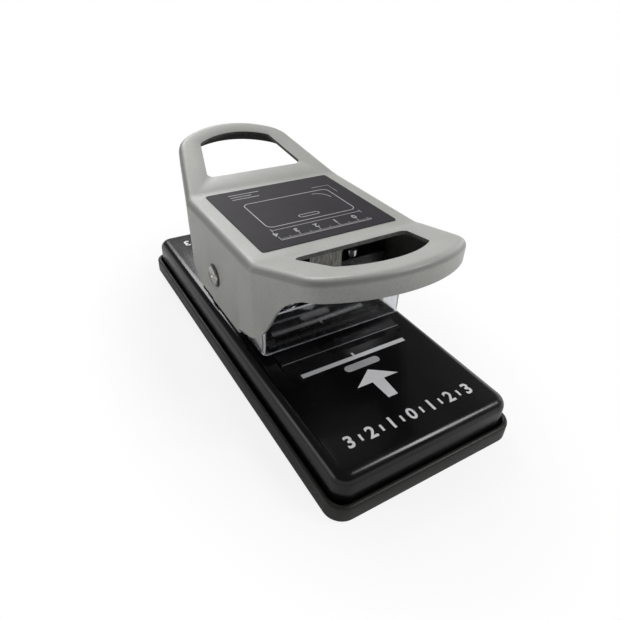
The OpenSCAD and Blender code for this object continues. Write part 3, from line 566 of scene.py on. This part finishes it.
def chip_tray():
    bm = bmesh.new()
    block(bm, tray_low, tray_high)
    bevel_edges(bm, upright_edges(bm), TRAY_CORNER, 10)
    top = [f for f in bm.faces if f.normal.z > 0.99]
    bmesh.ops.inset_region(bm, faces=top, thickness=TRAY_WALL * MM, use_even_offset=True)
    sunk = bmesh.ops.extrude_discrete_faces(bm, faces=top)["faces"]
    depth = tray_high.z - TRAY_FLOOR_TOP * MM
    bmesh.ops.translate(bm, verts=list({v for f in sunk for v in f.verts}), vec=(0, 0, -depth))
    bevel_edges(bm, loop_at(bm, tray_high.z), TRAY_RIM, 5)
    bevel_edges(bm, loop_at(bm, tray_low.z), TRAY_FOOT, 2)
    for i in (-1, 1):
        x = i * boss_x / 2
        block(bm, Vector((x - RIB_HALF * MM, -boss_y, TRAY_FLOOR_TOP * MM)),
              Vector((x + RIB_HALF * MM, boss_y, RIB_TOP * MM)))
        for j in (-1, 1):
            foot = Vector((i * boss_x, j * boss_y, TRAY_FLOOR_TOP * MM))
            tall = (tray_high.z - foot.z) / MM - STUD_DROP
            lathe(bm, [(0, 0), (0, STUD_R), (tall - STUD_TIP, STUD_R), (tall, STUD_R - STUD_TIP), (tall, 0)],
                  foot, UP, 32)
    for j in range(-2, 3):
        y = j * boss_y / 2.6
        block(bm, Vector((-boss_x, y - RIB_HALF * MM, TRAY_FLOOR_TOP * MM)),
              Vector((boss_x, y + RIB_HALF * MM, RIB_TOP * MM)))
    piece = make_object("tray_dish", bm, [tray_plastic], 50)
    return dress(piece, "tray", ["chip_tray"])


tray = chip_tray()
print("tray faces:", len(tray.data.polygons))

# %% [markdown]
# The handle is one steel pressing: a flat plate, two loops that tilt up, and a flange all round that
# deepens into the side walls. It is made the way a press makes it. A flat blank gets its flange and its
# rounded edge, the finger holes are pierced, and then the blank is tilted along two soft bends.
# The lower edge of the flange follows the side view: lips, walls, and the arch under the front loop.
# A loop or a finger hole is a D in plan. Its half width goes from w0 to w1 over the length s1, corner_r
# rounds it into the end arc of end_r, and tip is how far it reaches past the bend.

# %% Handle outlines
FRONT_BEND = 37.0
REAR_BEND = 31.3
FRONT_TILT = math.radians(15.8)
REAR_TILT = math.radians(18.6)
EDGE_R = 3.6
SHEET = 1.6
FRONT_REACH = 50.8
REAR_REACH = 57.4
FRONT_LIP = 10.2
REAR_LIP = 10.3
SKIRT_Z = 31.4
HEEL_R = 12
HEEL_INSET = 13.8
ARCH_END = 16.4
LIP_SLOPE = 0.232
BEND_SOFT = 3.0
STATION_GAP = 0.4
TAPER = 3.5
FRONT_LOOP = {"w0": 43.7, "w1": 35.6, "s1": 40, "end_r": 53, "corner_r": 15, "tip": FRONT_REACH}
REAR_LOOP = {"w0": 42.9, "w1": 29.8, "s1": 50, "end_r": 45, "corner_r": 17, "tip": REAR_REACH}
HOLE_R = 3
FRONT_HOLE = {"w0": 29, "w1": 22.3, "s1": 29.5, "end_r": 34, "corner_r": HOLE_R, "tip": FRONT_REACH - 12.8}
REAR_HOLE = {"w0": 29.2, "w1": 21.4, "s1": 34.8, "end_r": 36, "corner_r": HOLE_R, "tip": REAR_REACH - 11}
top_z = plate_z / MM
half_plate = half_w / MM


def d_side(w0, w1, s1, end_r, corner_r, tip):
    """Half of a D shape: from a tapering side through a round corner to a wide end arc."""
    side = Vector((w1 - w0, s1)).normalized()
    inward = Vector((-side.y, side.x))
    base = Vector((w0, 0)) + inward * corner_r
    centre = Vector((0, tip - end_r))
    lead = base - centre
    b = lead.dot(side)
    run = -b + math.sqrt(b * b - lead.dot(lead) + (end_r - corner_r) ** 2)
    middle = base + side * run
    first = math.degrees(math.atan2(-inward.y, -inward.x))
    last = math.degrees(math.atan2(middle.y - centre.y, middle.x - centre.x))
    corner = arc(middle.x, middle.y, corner_r, first, last, 10)
    return corner + arc(0, centre.y, end_r, last, 90, 12)[1:]


def curve(points, steps):
    """Points on a cubic curve between two ends, pulled by two control points."""
    p = [Vector(q) for q in points]
    line = []
    for t in (i / steps for i in range(steps + 1)):
        pulled = 3 * (1 - t) ** 2 * t * p[1] + 3 * (1 - t) * t * t * p[2]
        line.append(tuple((1 - t) ** 3 * p[0] + pulled + t ** 3 * p[3]))
    return line


def side_view():
    """Lower edge of the handle as (distance behind the pivot, height), from rear to front."""
    front_tip = (-FRONT_BEND - FRONT_REACH * math.cos(FRONT_TILT),
                 top_z + FRONT_REACH * math.sin(FRONT_TILT) - FRONT_LIP)
    rear_tip = (REAR_BEND + REAR_REACH * math.cos(REAR_TILT),
                top_z + REAR_REACH * math.sin(REAR_TILT) - REAR_LIP)
    toe = Vector((-FRONT_BEND - 0.1, SKIRT_Z + 4.6))
    arch_mid = toe + Vector((-14.4, 15.8))
    arch_end = Vector(front_tip) + Vector((ARCH_END, -ARCH_END * LIP_SLOPE))
    root = curve([(REAR_BEND + 6, top_z - 5.5), (REAR_BEND + 2, top_z - 7), (REAR_BEND, top_z - 9),
                  (REAR_BEND - 0.6, top_z - 15)], 6)
    heel = arc(REAR_BEND - HEEL_INSET, SKIRT_Z + HEEL_R, HEEL_R, 0, -90, 12)
    tab = [(5.5, SKIRT_Z), (4.5, SKIRT_Z - 1), (-25.5, SKIRT_Z - 1), (-26, SKIRT_Z + 1.6), (-32, SKIRT_Z + 3.3)]
    foot = curve([toe, toe + Vector((-7, 3.2)), toe + Vector((-10.6, 8)), arch_mid], 8)
    arch = curve([arch_mid, arch_mid + Vector((-5.2, 10.6)), arch_end + Vector((9, -5.2)), arch_end], 12)
    return [rear_tip] + root + heel + tab + foot + arch[1:] + [front_tip]


LOWER = side_view()


def lower_edge(y):
    """Height of the handle's lower edge at a distance behind the pivot."""
    for (y1, z1), (y0, z0) in zip(LOWER, LOWER[1:]):
        if y0 <= y <= y1:
            return z0 + (z1 - z0) * (y - y0) / max(y1 - y0, 1e-6)
    return LOWER[0][1] if y > LOWER[0][0] else LOWER[-1][1]


def lift(y):
    """How far the two bends raise the blank at a distance behind the pivot."""
    raised = 0
    for past, tilt in ((-y - FRONT_BEND, FRONT_TILT), (y - REAR_BEND, REAR_TILT)):
        if past > BEND_SOFT:
            raised += past * math.tan(tilt)
        elif past > -BEND_SOFT:
            raised += math.tan(tilt) * (past + BEND_SOFT) ** 2 / (4 * BEND_SOFT)
    return raised


def stations(start, end):
    """Places of the lower edge's corners between two ends, none closer together than STATION_GAP."""
    kept = [start]
    for y in sorted(y for y, z in LOWER):
        if y - kept[-1] > STATION_GAP and end - y > 2 * STATION_GAP:
            kept.append(y)
    return kept[1:]


def blank_half():
    """The blank's outline on the +X side, from the front tip to the rear tip."""
    front = [(x, -FRONT_BEND - s * math.cos(FRONT_TILT)) for x, s in reversed(d_side(**FRONT_LOOP))]
    rear = [(x, REAR_BEND + s * math.cos(REAR_TILT)) for x, s in d_side(**REAR_LOOP)]
    taper_start = -FRONT_BEND - TAPER * math.cos(FRONT_TILT)
    side = [(half_plate, y) for y in stations(taper_start, REAR_BEND)]
    narrowing = (FRONT_LOOP["w0"] - FRONT_LOOP["w1"]) / FRONT_LOOP["s1"]
    flank = [(FRONT_LOOP["w0"] - narrowing * (-y - FRONT_BEND) / math.cos(FRONT_TILT), y)
             for y in stations(front[-1][1], taper_start)]
    return front + flank + [(half_plate, taper_start)] + side + [(half_plate, REAR_BEND)] + rear


def hole_outline(hole, start, bend, tilt, towards):
    """A finger hole in plan, all round, from its start behind the bend."""
    w = hole["w0"] + (hole["w1"] - hole["w0"]) * start / hole["s1"]
    half = arc(w - HOLE_R, start + HOLE_R, HOLE_R, -90, -8, 6) + d_side(**hole)
    ring = half + [(-x, s) for x, s in reversed(half[:-1])]
    return [(x, towards * (bend + s * math.cos(tilt))) for x, s in ring]


half_ring = blank_half()
blank = half_ring + [(-x, y) for x, y in reversed(half_ring[1:-1])]
finger_holes = [hole_outline(FRONT_HOLE, 8, FRONT_BEND, FRONT_TILT, -1),
                hole_outline(REAR_HOLE, 12.6, REAR_BEND, REAR_TILT, 1)]
print("blank outline points:", len(blank))

# %% [markdown]
# The blank becomes the pressing here. A hem drops from the outline, its edge is rounded, and the flat is
# filled round the finger holes. Cuts across the blank give the bends even rows, and then every point is
# lifted to its height. Solidify gives the sheet its thickness, and a fine bevel breaks its cut edges.

# %% Press the handle
BUSH_RIM = 2
BROKEN_EDGE = 0.3
HOLE_RIM_REACH = 0.4


def near_ring(spot, ring):
    """Whether a spot lies on a finger hole's cut edge, seen in plan."""
    at = Vector((spot.x / MM, (spot.y - pivot.y) / MM))
    for a, b in zip(ring, ring[1:] + ring[:1]):
        foot, share = intersect_point_line(at, Vector(a), Vector(b))
        if -0.05 < share < 1.05 and (foot - at).length < HOLE_RIM_REACH:
            return True
    return False


def press_handle():
    bm = bmesh.new()
    ring = [bm.verts.new((x * MM, y * MM, 0)) for x, y in blank]
    face = bm.faces.new(ring)
    if face.normal.z < 0:
        face.normal_flip()
    made = bmesh.ops.extrude_edge_only(bm, edges=list(face.edges))["geom"]
    hem = [g for g in made if isinstance(g, bmesh.types.BMVert)]
    bmesh.ops.translate(bm, verts=hem, vec=(0, 0, -2 * EDGE_R * MM))
    rim = [e for e in bm.edges if all(abs(v.co.z) < 1e-7 for v in e.verts)]
    bevel_edges(bm, rim, EDGE_R, 6, False)
    flat = max(bm.faces, key=lambda f: len(f.verts))
    inner = list(flat.edges)
    bmesh.ops.delete(bm, geom=[flat], context="FACES_ONLY")
    for points in finger_holes:
        inner += closed_loop(bm, points, 0)
    bmesh.ops.triangle_fill(bm, use_beauty=True, edges=inner)
    for bend in (-FRONT_BEND, REAR_BEND):
        for k in range(-3, 4):
            where = (bend + k * BEND_SOFT / 3) * MM
            bmesh.ops.bisect_plane(bm, geom=bm.verts[:] + bm.edges[:] + bm.faces[:],
                                   plane_co=(0, where, 0), plane_no=(0, 1, 0), dist=1e-7)
    bmesh.ops.recalc_face_normals(bm, faces=bm.faces)
    if sum(f.normal.z * f.calc_area() for f in bm.faces) < 0:
        bmesh.ops.reverse_faces(bm, faces=bm.faces)
    for v in bm.verts:
        y = v.co.y / MM
        if v.co.z < -1.5 * EDGE_R * MM:
            v.co.z = lower_edge(y) * MM
        else:
            v.co.z += (top_z + lift(y)) * MM
    bmesh.ops.translate(bm, verts=bm.verts, vec=(0, pivot.y, 0))
    piece = make_object("handle_pressing", bm, [handle_paint, handle_inside_shade], 40)
    # The sheet's inner face takes the second material, the coat with painted shade.
    add_modifier(piece, "sheet", "SOLIDIFY", thickness=SHEET * MM, offset=-1, use_even_offset=True,
                 material_offset=1, material_offset_rim=0)
    apply_modifiers(piece, 40)
    bm = bmesh.new()
    bush_r = (bush_high.z - bush_low.z) / 2 / MM - BUSH_RIM
    lathe(bm, rod_profile(bush_r), pivot, ACROSS, 48)
    cut(piece, [cutter("bush_hole", bm)])
    # The finger holes' cut edges take the painted shade as well.
    for face in piece.data.polygons:
        if abs(face.normal.z) < 0.6 and any(near_ring(face.center, ring) for ring in finger_holes):
            face.material_index = 1
    add_modifier(piece, "broken_edges", "BEVEL", width=BROKEN_EDGE * MM, segments=2, limit_method="ANGLE",
                 angle_limit=math.radians(50))
    add_modifier(piece, "even_shade", "WEIGHTED_NORMAL", weight=100, keep_sharp=True)
    apply_modifiers(piece, 40)
    return dress(piece, "handle", ["handle_shell"])


handle = press_handle()
print("handle faces:", len(handle.data.polygons))

# %% [markdown]
# The guards are strips of clear sheet folded twice. A bent line is drawn in plan and raised into a strip,
# a slanted cut takes off the arms' upper corners, and Solidify gives the sheet its 1.2 mm.
# The cut edges get the pale edge material, frost and a painted glow, through the modifier's rim setting.

# %% Clear guards
GUARD_T = 1.2
GUARD_BEND_R = 2.0
GUARD_HOLE_R = 1.6
GUARD_SLANT = 5.6


def guard(node, towards):
    low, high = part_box(node)
    half = high.x / MM
    arm_end = min(abs(low.y - pivot.y), abs(high.y - pivot.y)) / MM
    away = max(abs(low.y - pivot.y), abs(high.y - pivot.y)) / MM
    r = GUARD_BEND_R
    right_side = [(half, arm_end)] + arc(half - r, away - r, r, 0, 90, 6)
    path = right_side + [(-x, y) for x, y in reversed(right_side)]
    bm = bmesh.new()
    line = [bm.verts.new((x * MM, pivot.y + towards * y * MM, low.z)) for x, y in path]
    edges = [bm.edges.new(pair) for pair in zip(line, line[1:])]
    raised = bmesh.ops.extrude_edge_only(bm, edges=edges)["geom"]
    bmesh.ops.translate(bm, verts=[g for g in raised if isinstance(g, bmesh.types.BMVert)],
                        vec=(0, 0, high.z - low.z))
    corner = Vector((0, pivot.y + towards * (arm_end + GUARD_SLANT) * MM, high.z))
    bmesh.ops.bisect_plane(bm, geom=bm.verts[:] + bm.edges[:] + bm.faces[:], plane_co=corner,
                           plane_no=Vector((0, -towards, 1)), clear_outer=True)
    bmesh.ops.recalc_face_normals(bm, faces=bm.faces)
    front = [f for f in bm.faces if abs(f.normal.y) > 0.99][0]
    if front.normal.y * towards < 0:
        bmesh.ops.reverse_faces(bm, faces=bm.faces)
    piece = make_object(node + "_sheet", bm, [acrylic, acrylic_rim_painted_glow], 40)
    add_modifier(piece, "sheet", "SOLIDIFY", thickness=GUARD_T * MM, offset=-1, use_even_offset=True,
                 material_offset_rim=1)
    apply_modifiers(piece, 40)
    head_low, head_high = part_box("guard_screws")
    head_r = (head_high.z - head_low.z) / 2
    screw_y = pivot.y + towards * (pivot.y - head_low.y - head_r)
    bm = bmesh.new()
    lathe(bm, rod_profile(GUARD_HOLE_R), Vector((0, screw_y, (head_low.z + head_high.z) / 2)), ACROSS, 32)
    cut(piece, [cutter("screw_hole", bm)])
    return dress(piece, "base", [node])


guards = [guard("front_guard", -1), guard("rear_guard", 1)]
print("guards:", [len(g.data.polygons) for g in guards])

# %% [markdown]
# The shaft ends stand a little proud of the handle's walls, turned with a chamfer and a centre mark.
# The nylon bushes show as dark rings round them. Both are lathe work, so both are spun profiles.

# %% Shaft and bushes
SHAFT_PLAY = 0.06
FRAME_PLAY = 0.3


def shaft_and_bushes():
    reach = (shaft_high.x - pivot.x) / MM
    r = shaft_r / MM
    half = [(0, r), (reach - 0.6, r), (reach - 0.2, r - 0.25), (reach, r - 0.65), (reach, 1.1),
            (reach - 0.5, 0.4), (reach - 0.5, 0)]
    bm = bmesh.new()
    lathe(bm, [(-d, q) for d, q in reversed(half)] + half[1:], pivot, ACROSS)
    dress(make_object("shaft_turned", bm, [turned_steel], 30), "base", ["pivot_shaft"])
    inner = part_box("frame_right")[1].x / MM + FRAME_PLAY
    wall = half_plate - SHEET
    outer = (bush_high.x - pivot.x) / MM
    flange_r = (bush_high.z - bush_low.z) / 2 / MM
    hub_r = flange_r - BUSH_RIM
    bore = r + SHAFT_PLAY
    bm = bmesh.new()
    for side in (-1, 1):
        lathe(bm, [(inner, bore), (inner, flange_r), (wall, flange_r), (wall, hub_r), (outer - 0.3, hub_r),
                   (outer, hub_r - 0.4), (outer, bore + 0.2), (outer - 0.2, bore), (inner, bore)],
              pivot, side * ACROSS)
    dress(make_object("bushes_moulded", bm, [bush_nylon], 30), "handle", ["pivot_bushes"])


shaft_and_bushes()

# %% [markdown]
# A return spring is wire wound on a mandrel. Spinning a small circle while it climbs makes the helix in
# one call. The springs stretch and shorten between the fixed block and the moving crosshead.

# %% Return springs
SPRING_TURNS = 5
RINGS_A_TURN = 28
WIRE_SIDES = 10
WIRE_R = 0.5


def springs(node):
    low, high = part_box(node)
    middle_y = (low.y + high.y) / 2
    coil_r = (high.y - low.y) / 2 - WIRE_R * MM
    post_x = high.x - coil_r - WIRE_R * MM
    climb = high.z - low.z - 2 * WIRE_R * MM
    steps = SPRING_TURNS * RINGS_A_TURN
    bm = bmesh.new()
    for side in (-1, 1):
        centre = Vector((side * post_x, middle_y, low.z + WIRE_R * MM))
        turned = Matrix.Translation(centre + Vector((coil_r, 0, 0))) @ Matrix.Rotation(math.pi / 2, 4, "X")
        ring = bmesh.ops.create_circle(bm, cap_ends=True, radius=WIRE_R * MM, segments=WIRE_SIDES,
                                       matrix=turned)["verts"]
        edges = list({e for v in ring for e in v.link_edges})
        faces = list({f for v in ring for f in v.link_faces})
        bmesh.ops.spin(bm, geom=ring + edges + faces, cent=centre, axis=UP, angle=SPRING_TURNS * math.tau,
                       steps=steps, dvec=UP * climb / steps)
    bmesh.ops.recalc_face_normals(bm, faces=bm.faces)
    piece = make_object(node + "_wound", bm, [spring_steel], 60)
    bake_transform(piece)
    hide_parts(node)


springs("slot_springs")
springs("corner_springs")

# %% [markdown]
# The label is a charcoal vinyl panel under a satin film. Its print is a plain diagram in light grey:
# a card, the slot, a rounded corner, and a centimetre scale that is read from the rear.
# Ink is raised by a few hundredths. The numbers are text objects that become meshes.

# %% Label
INK = 0.04 * MM
LABEL_MARGIN = Vector((1.2, 1.6))
LABEL_SHIFT = 0.3
LABEL_CORNER = 1.5
FINE = 0.3
RULE_LEFT, RULE_RIGHT = -22, 24
RULE_Y = -25
SPAN_Y = -15.5
NUMBER_Y = -19.2
CENTIMETRE = 10
CARD_X = 1
label_mid = (label_low + label_high) / 2


def strip(bm, points, width, z, closed=False):
    """A printed line of constant width along points, as a thin raised band."""
    loop = [Vector(p) for p in points]
    count = len(loop)
    left, right_side = [], []
    for i, p in enumerate(loop):
        before = loop[i - 1] if i or closed else p
        after = loop[(i + 1) % count] if i < count - 1 or closed else p
        across = Vector((before.y - after.y, after.x - before.x)).normalized() * width / 2
        left.append(tuple(p + across))
        right_side.append(tuple(p - across))
    if closed:
        plate_from(bm, left, z, INK, [right_side])
    else:
        plate_from(bm, left + right_side[::-1], z, INK)


def moved(points, x, y):
    return [(px + x, py + y) for px, py in points]


def add_number(bm, number, x, y, size, z, turned=False):
    """One number as flat ink, centred on a place in millimetres."""
    curve_data = bpy.data.curves.new("number", "FONT")
    curve_data.body = str(number)
    curve_data.size = size * MM
    curve_data.offset = size * 0.025 * MM
    curve_data.extrude = INK / 2
    curve_data.align_x = curve_data.align_y = "CENTER"
    curve_data.resolution_u = 3
    text = bpy.data.objects.new("number", curve_data)
    bpy.context.scene.collection.objects.link(text)
    mesh = bpy.data.meshes.new_from_object(text.evaluated_get(bpy.context.evaluated_depsgraph_get()))
    turn = Matrix.Rotation(math.pi if turned else 0, 4, "Z")
    mesh.transform(Matrix.Translation((x * MM, y * MM, z + INK / 2)) @ turn)
    bm.from_mesh(mesh)
    bpy.data.objects.remove(text)


def label_panel():
    size = (label_high - label_low) / MM
    outline = round_rect(size.x - LABEL_MARGIN.x, size.y - LABEL_MARGIN.y, LABEL_CORNER)
    bm = bmesh.new()
    plate_from(bm, moved(outline, 0, label_mid.y / MM + LABEL_SHIFT), label_low.z, label_high.z - label_low.z)
    dress(make_object("label_panel", bm, [label_vinyl], 30), "handle", ["label_plate"])


def card_lines(bm, y0, z):
    """A card with its slot and its rounded corner, and a corner bracket beside it."""
    strip(bm, moved(round_rect(46, 27, 3), CARD_X, y0 + 1), 0.45, z, True)
    slot_mark = [(4, 1.2), (-4, 1.2)] + arc(-4, 0, 1.2, 90, 270, 6)[1:-1] + [(-4, -1.2), (4, -1.2)] \
        + arc(4, 0, 1.2, -90, 90, 6)[1:-1]
    strip(bm, moved(slot_mark, CARD_X, y0 - 8), 0.4, z, True)
    strip(bm, moved(arc(0, 0, 7, 0, 90, 8), 14, y0 + 4.5), 0.4, z)
    strip(bm, [(18, y0 + 18.4), (27.5, y0 + 18.4), (27.5, y0 + 9)], FINE, z)


def rule_lines(bm, y0, z):
    """A line across the card's width with end marks, and a centimetre rule under it."""
    strip(bm, [(RULE_LEFT, y0 + SPAN_Y), (RULE_RIGHT, y0 + SPAN_Y)], FINE, z)
    for x in (RULE_LEFT, RULE_RIGHT):
        strip(bm, [(x, y0 + SPAN_Y - 1.5), (x, y0 + SPAN_Y + 1.5)], FINE, z)
    for i in range(RULE_RIGHT - RULE_LEFT + 1):
        tall = 3.4 if i % 10 == 0 else 2.4 if i % 5 == 0 else 1.5
        strip(bm, [(RULE_LEFT + i, y0 + RULE_Y), (RULE_LEFT + i, y0 + RULE_Y + tall)], 0.28, z)
    strip(bm, [(RULE_LEFT, y0 + RULE_Y), (RULE_RIGHT, y0 + RULE_Y)], FINE, z)
    for i in range(5):
        add_number(bm, i, 18 - CENTIMETRE * i, y0 + NUMBER_Y, 4.6, z, True)


def label_print():
    z = label_high.z
    y0 = label_mid.y / MM
    bm = bmesh.new()
    card_lines(bm, y0, z)
    rule_lines(bm, y0, z)
    for k, length in enumerate((16, 11, 14)):
        strip(bm, [(-24, y0 + 26.5 - 2.6 * k), (-24 + length, y0 + 26.5 - 2.6 * k)], 0.5, z)
    dress(make_object("label_diagram", bm, [label_ink], 30), "handle")


label_panel()
label_print()

# %% [markdown]
# White ink on the cover guides the card: a bar as long as the card's short side with a centre tick,
# a slot symbol in front of it, an arrow that points the way in, and a plain centimetre scale at each end.

# %% Print on the cover
FRONT_FACE_Y = tray_low.y / MM
PRINT_X = 0.5
LINE_Y = FRONT_FACE_Y + 56.8
LINE_HALF = 27.9
LINE_W = 2.4
SLOT_MARK_Y = FRONT_FACE_Y + 51.4
SLOT_MARK_HALF = 7.2
ARROW_TIP_Y = FRONT_FACE_Y + 47.2
ARROW_WING_Y = FRONT_FACE_Y + 39.5
ARROW_END_Y = FRONT_FACE_Y + 29.0
ARROW_WING = 10.7
ARROW_NECK = 3
ARROW_FOOT = 2.4
SCALE_Y = FRONT_FACE_Y + 17.0


def centre_scale(bm, y, turned):
    """Numbers from 3 to 0 to 3 with half marks between them."""
    z = cover_high.z
    for i in range(-3, 4):
        add_number(bm, abs(i), PRINT_X + CENTIMETRE * i, y, 8, z, turned)
    for i in range(-3, 3):
        x = PRINT_X + CENTIMETRE * (i + 0.5)
        strip(bm, [(x, y - 1.6), (x, y + 1.6)], 1, z)


def cover_print():
    z = cover_high.z
    bm = bmesh.new()
    strip(bm, [(PRINT_X - LINE_HALF, LINE_Y), (PRINT_X + LINE_HALF, LINE_Y)], LINE_W, z)
    strip(bm, [(PRINT_X, LINE_Y + LINE_W / 2), (PRINT_X, LINE_Y + LINE_W / 2 + 2)], 1, z)
    arrow = [(0, ARROW_TIP_Y), (-ARROW_WING, ARROW_WING_Y), (-ARROW_NECK, ARROW_WING_Y),
             (-ARROW_FOOT, ARROW_END_Y), (ARROW_FOOT, ARROW_END_Y), (ARROW_NECK, ARROW_WING_Y),
             (ARROW_WING, ARROW_WING_Y)]
    plate_from(bm, moved(arrow, PRINT_X, 0), z, INK)
    centre_scale(bm, SCALE_Y, False)
    centre_scale(bm, -SCALE_Y, True)
    dress(make_object("cover_print", bm, [print_ink], 30), "base")
    bm = bmesh.new()
    mark = arc(SLOT_MARK_HALF, 0, 2, -90, 90, 10) + arc(-SLOT_MARK_HALF, 0, 2, 90, 270, 10)
    plate_from(bm, moved(mark, PRINT_X, SLOT_MARK_Y), z, INK)
    dress(make_object("cover_slot_mark", bm, [mark_ink], 30), "base")


cover_print()

# %% [markdown]
# The other solids keep the frame's shape and get their finish here, by node.

# %% Finish of the other nodes
FINISH = {
    "foot_pads": foot_rubber, "base_plate": ground_steel, "slot_die_plate": die_black,
    "corner_die_plate": die_black, "slot_spacer": ground_steel, "corner_fence": ground_steel,
    "slot_guide_block": block_black, "corner_guide_block": block_black, "slot_block_screws": zinc_steel,
    "corner_block_screws": zinc_steel, "frame_left": frame_black, "frame_right": frame_black,
    "frame_screws": zinc_steel, "guard_screws": zinc_steel, "shaft_clips": spring_steel,
    "frame_spacer": ground_steel, "slot_posts": chromed_steel, "corner_posts": chromed_steel,
    "slot_crosshead": block_black, "slot_blade": ground_steel, "slot_pin": chromed_steel,
    "corner_crosshead": block_black, "corner_blade": ground_steel, "corner_pin": chromed_steel,
    "slot_drive_block": sawn_steel, "corner_drive_block": sawn_steel, "drive_screws": zinc_steel,
}
for name, material in FINISH.items():
    node = nodes[name]
    node.data.materials.clear()
    node.data.materials.append(material)
print("nodes with a finish:", len(FINISH))

# %% [markdown]
# The studio is a white floor and soft lamps. A broad one stands behind. A smaller one at the front right
# lights the print and draws the bright line along the cover's front edge. Two low ones light the walls.
# Towards the camera, floor and sky are plain white. In reflections the paper keeps its shade close to the
# machine, the far floor and the horizon are white, and the sky is dim higher up. CLEAR_OVAL stretches the
# shaded patch along the machine.

# %% Floor and light
SKY = 0.15
SKY_MIRRORED = 0.15
CLEAR_NEAR = 0.11
CLEAR_FAR = 0.17
CLEAR_OVAL = (1.6, 1.0, 1.0)
FLOOR_DROP = 0.02
FLOOR_HALF = 4
LAMP_AIM = Vector((0, 0, 0.03))


def seen_rays(tree):
    """One for rays that come straight from the camera or through something clear, else zero."""
    path = tree.nodes.new("ShaderNodeLightPath")
    seen = add(tree, "ShaderNodeMath", {"operation": "MAXIMUM"}, _0=path.outputs["Is Camera Ray"],
               _1=path.outputs["Is Transmission Ray"]).outputs[0]
    return seen, path.outputs["Is Glossy Ray"]


def floor():
    bm = bmesh.new()
    bmesh.ops.create_grid(bm, x_segments=1, y_segments=1, size=FLOOR_HALF)
    bmesh.ops.translate(bm, verts=bm.verts, vec=(0, 0, cad_box[0][2] - FLOOR_DROP * MM))
    material, tree, shader, place = start_material("paper_white", Roughness=0.9)
    tone = noise(tree, place, 400, 2)
    pale = mixed(tree, between(tree, tone, 0, 1, 0.3, 0.7), hex_linear("#DADADA"), hex_linear("#E0E0E0"))
    tree.links.new(pale, shader.inputs["Base Color"])
    seen, glossy = seen_rays(tree)
    oval = add(tree, "ShaderNodeVectorMath", {"operation": "MULTIPLY"}, _0=place, _1=CLEAR_OVAL).outputs[0]
    away = add(tree, "ShaderNodeVectorMath", {"operation": "LENGTH"}, _0=oval).outputs["Value"]
    direct = add(tree, "ShaderNodeMath", {"operation": "MULTIPLY"}, _0=seen,
                 _1=between(tree, away, 0.85, 1.0, CLEAR_NEAR, CLEAR_FAR)).outputs[0]
    mirrored = add(tree, "ShaderNodeMath", {"operation": "MULTIPLY"}, _0=glossy,
                   _1=between(tree, away, 0.08, 1.0, CLEAR_NEAR, 2 * CLEAR_FAR)).outputs[0]
    clear = add(tree, "ShaderNodeMath", {"operation": "MAXIMUM"}, _0=direct, _1=mirrored).outputs[0]
    white = add(tree, "ShaderNodeEmission", Color=(1, 1, 1, 1), Strength=1.0).outputs[0]
    both = add(tree, "ShaderNodeMixShader", _0=clear, _1=shader.outputs[0], _2=white).outputs[0]
    tree.links.new(both, tree.nodes["Material Output"].inputs["Surface"])
    make_object("floor", bm, [material])


def world_light():
    world = bpy.data.worlds.new("studio")
    bpy.context.scene.world = world
    world.use_nodes = True
    tree = world.node_tree
    seen, glossy = seen_rays(tree)
    heading = add(tree, "ShaderNodeSeparateXYZ",
                  Vector=tree.nodes.new("ShaderNodeTexCoord").outputs["Generated"]).outputs[2]
    mirrored = add(tree, "ShaderNodeMath", {"operation": "MULTIPLY"}, _0=glossy,
                   _1=between(tree, heading, 1.0, SKY_MIRRORED, 0.08, 0.3)).outputs[0]
    level = add(tree, "ShaderNodeMath", {"operation": "MAXIMUM"}, _0=between(tree, seen, SKY, 1.0),
                _1=mirrored).outputs[0]
    tree.links.new(level, tree.nodes["Background"].inputs["Strength"])
    tree.nodes["Background"].inputs["Color"].default_value = (1, 1, 1, 1)


def soft_lamp(name, place, size, watts):
    data = bpy.data.lights.new(name, "AREA")
    data.shape = "RECTANGLE"
    data.size, data.size_y = size
    data.energy = watts
    lamp = bpy.data.objects.new(name, data)
    bpy.context.scene.collection.objects.link(lamp)
    lamp.location = place
    lamp.rotation_euler = (LAMP_AIM - Vector(place)).to_track_quat("-Z", "Y").to_euler()


floor()
world_light()
soft_lamp("lamp_back", (0.12, 0.90, 0.82), (0.6, 0.5), 8.4)
soft_lamp("lamp_right", (0.62, -0.50, 0.90), (0.35, 0.35), 6.0)
soft_lamp("lamp_side", (1.10, 0.15, 0.35), (0.8, 0.5), 1.6)
soft_lamp("lamp_left", (-1.15, 0.30, 0.22), (0.9, 0.4), 2.0)
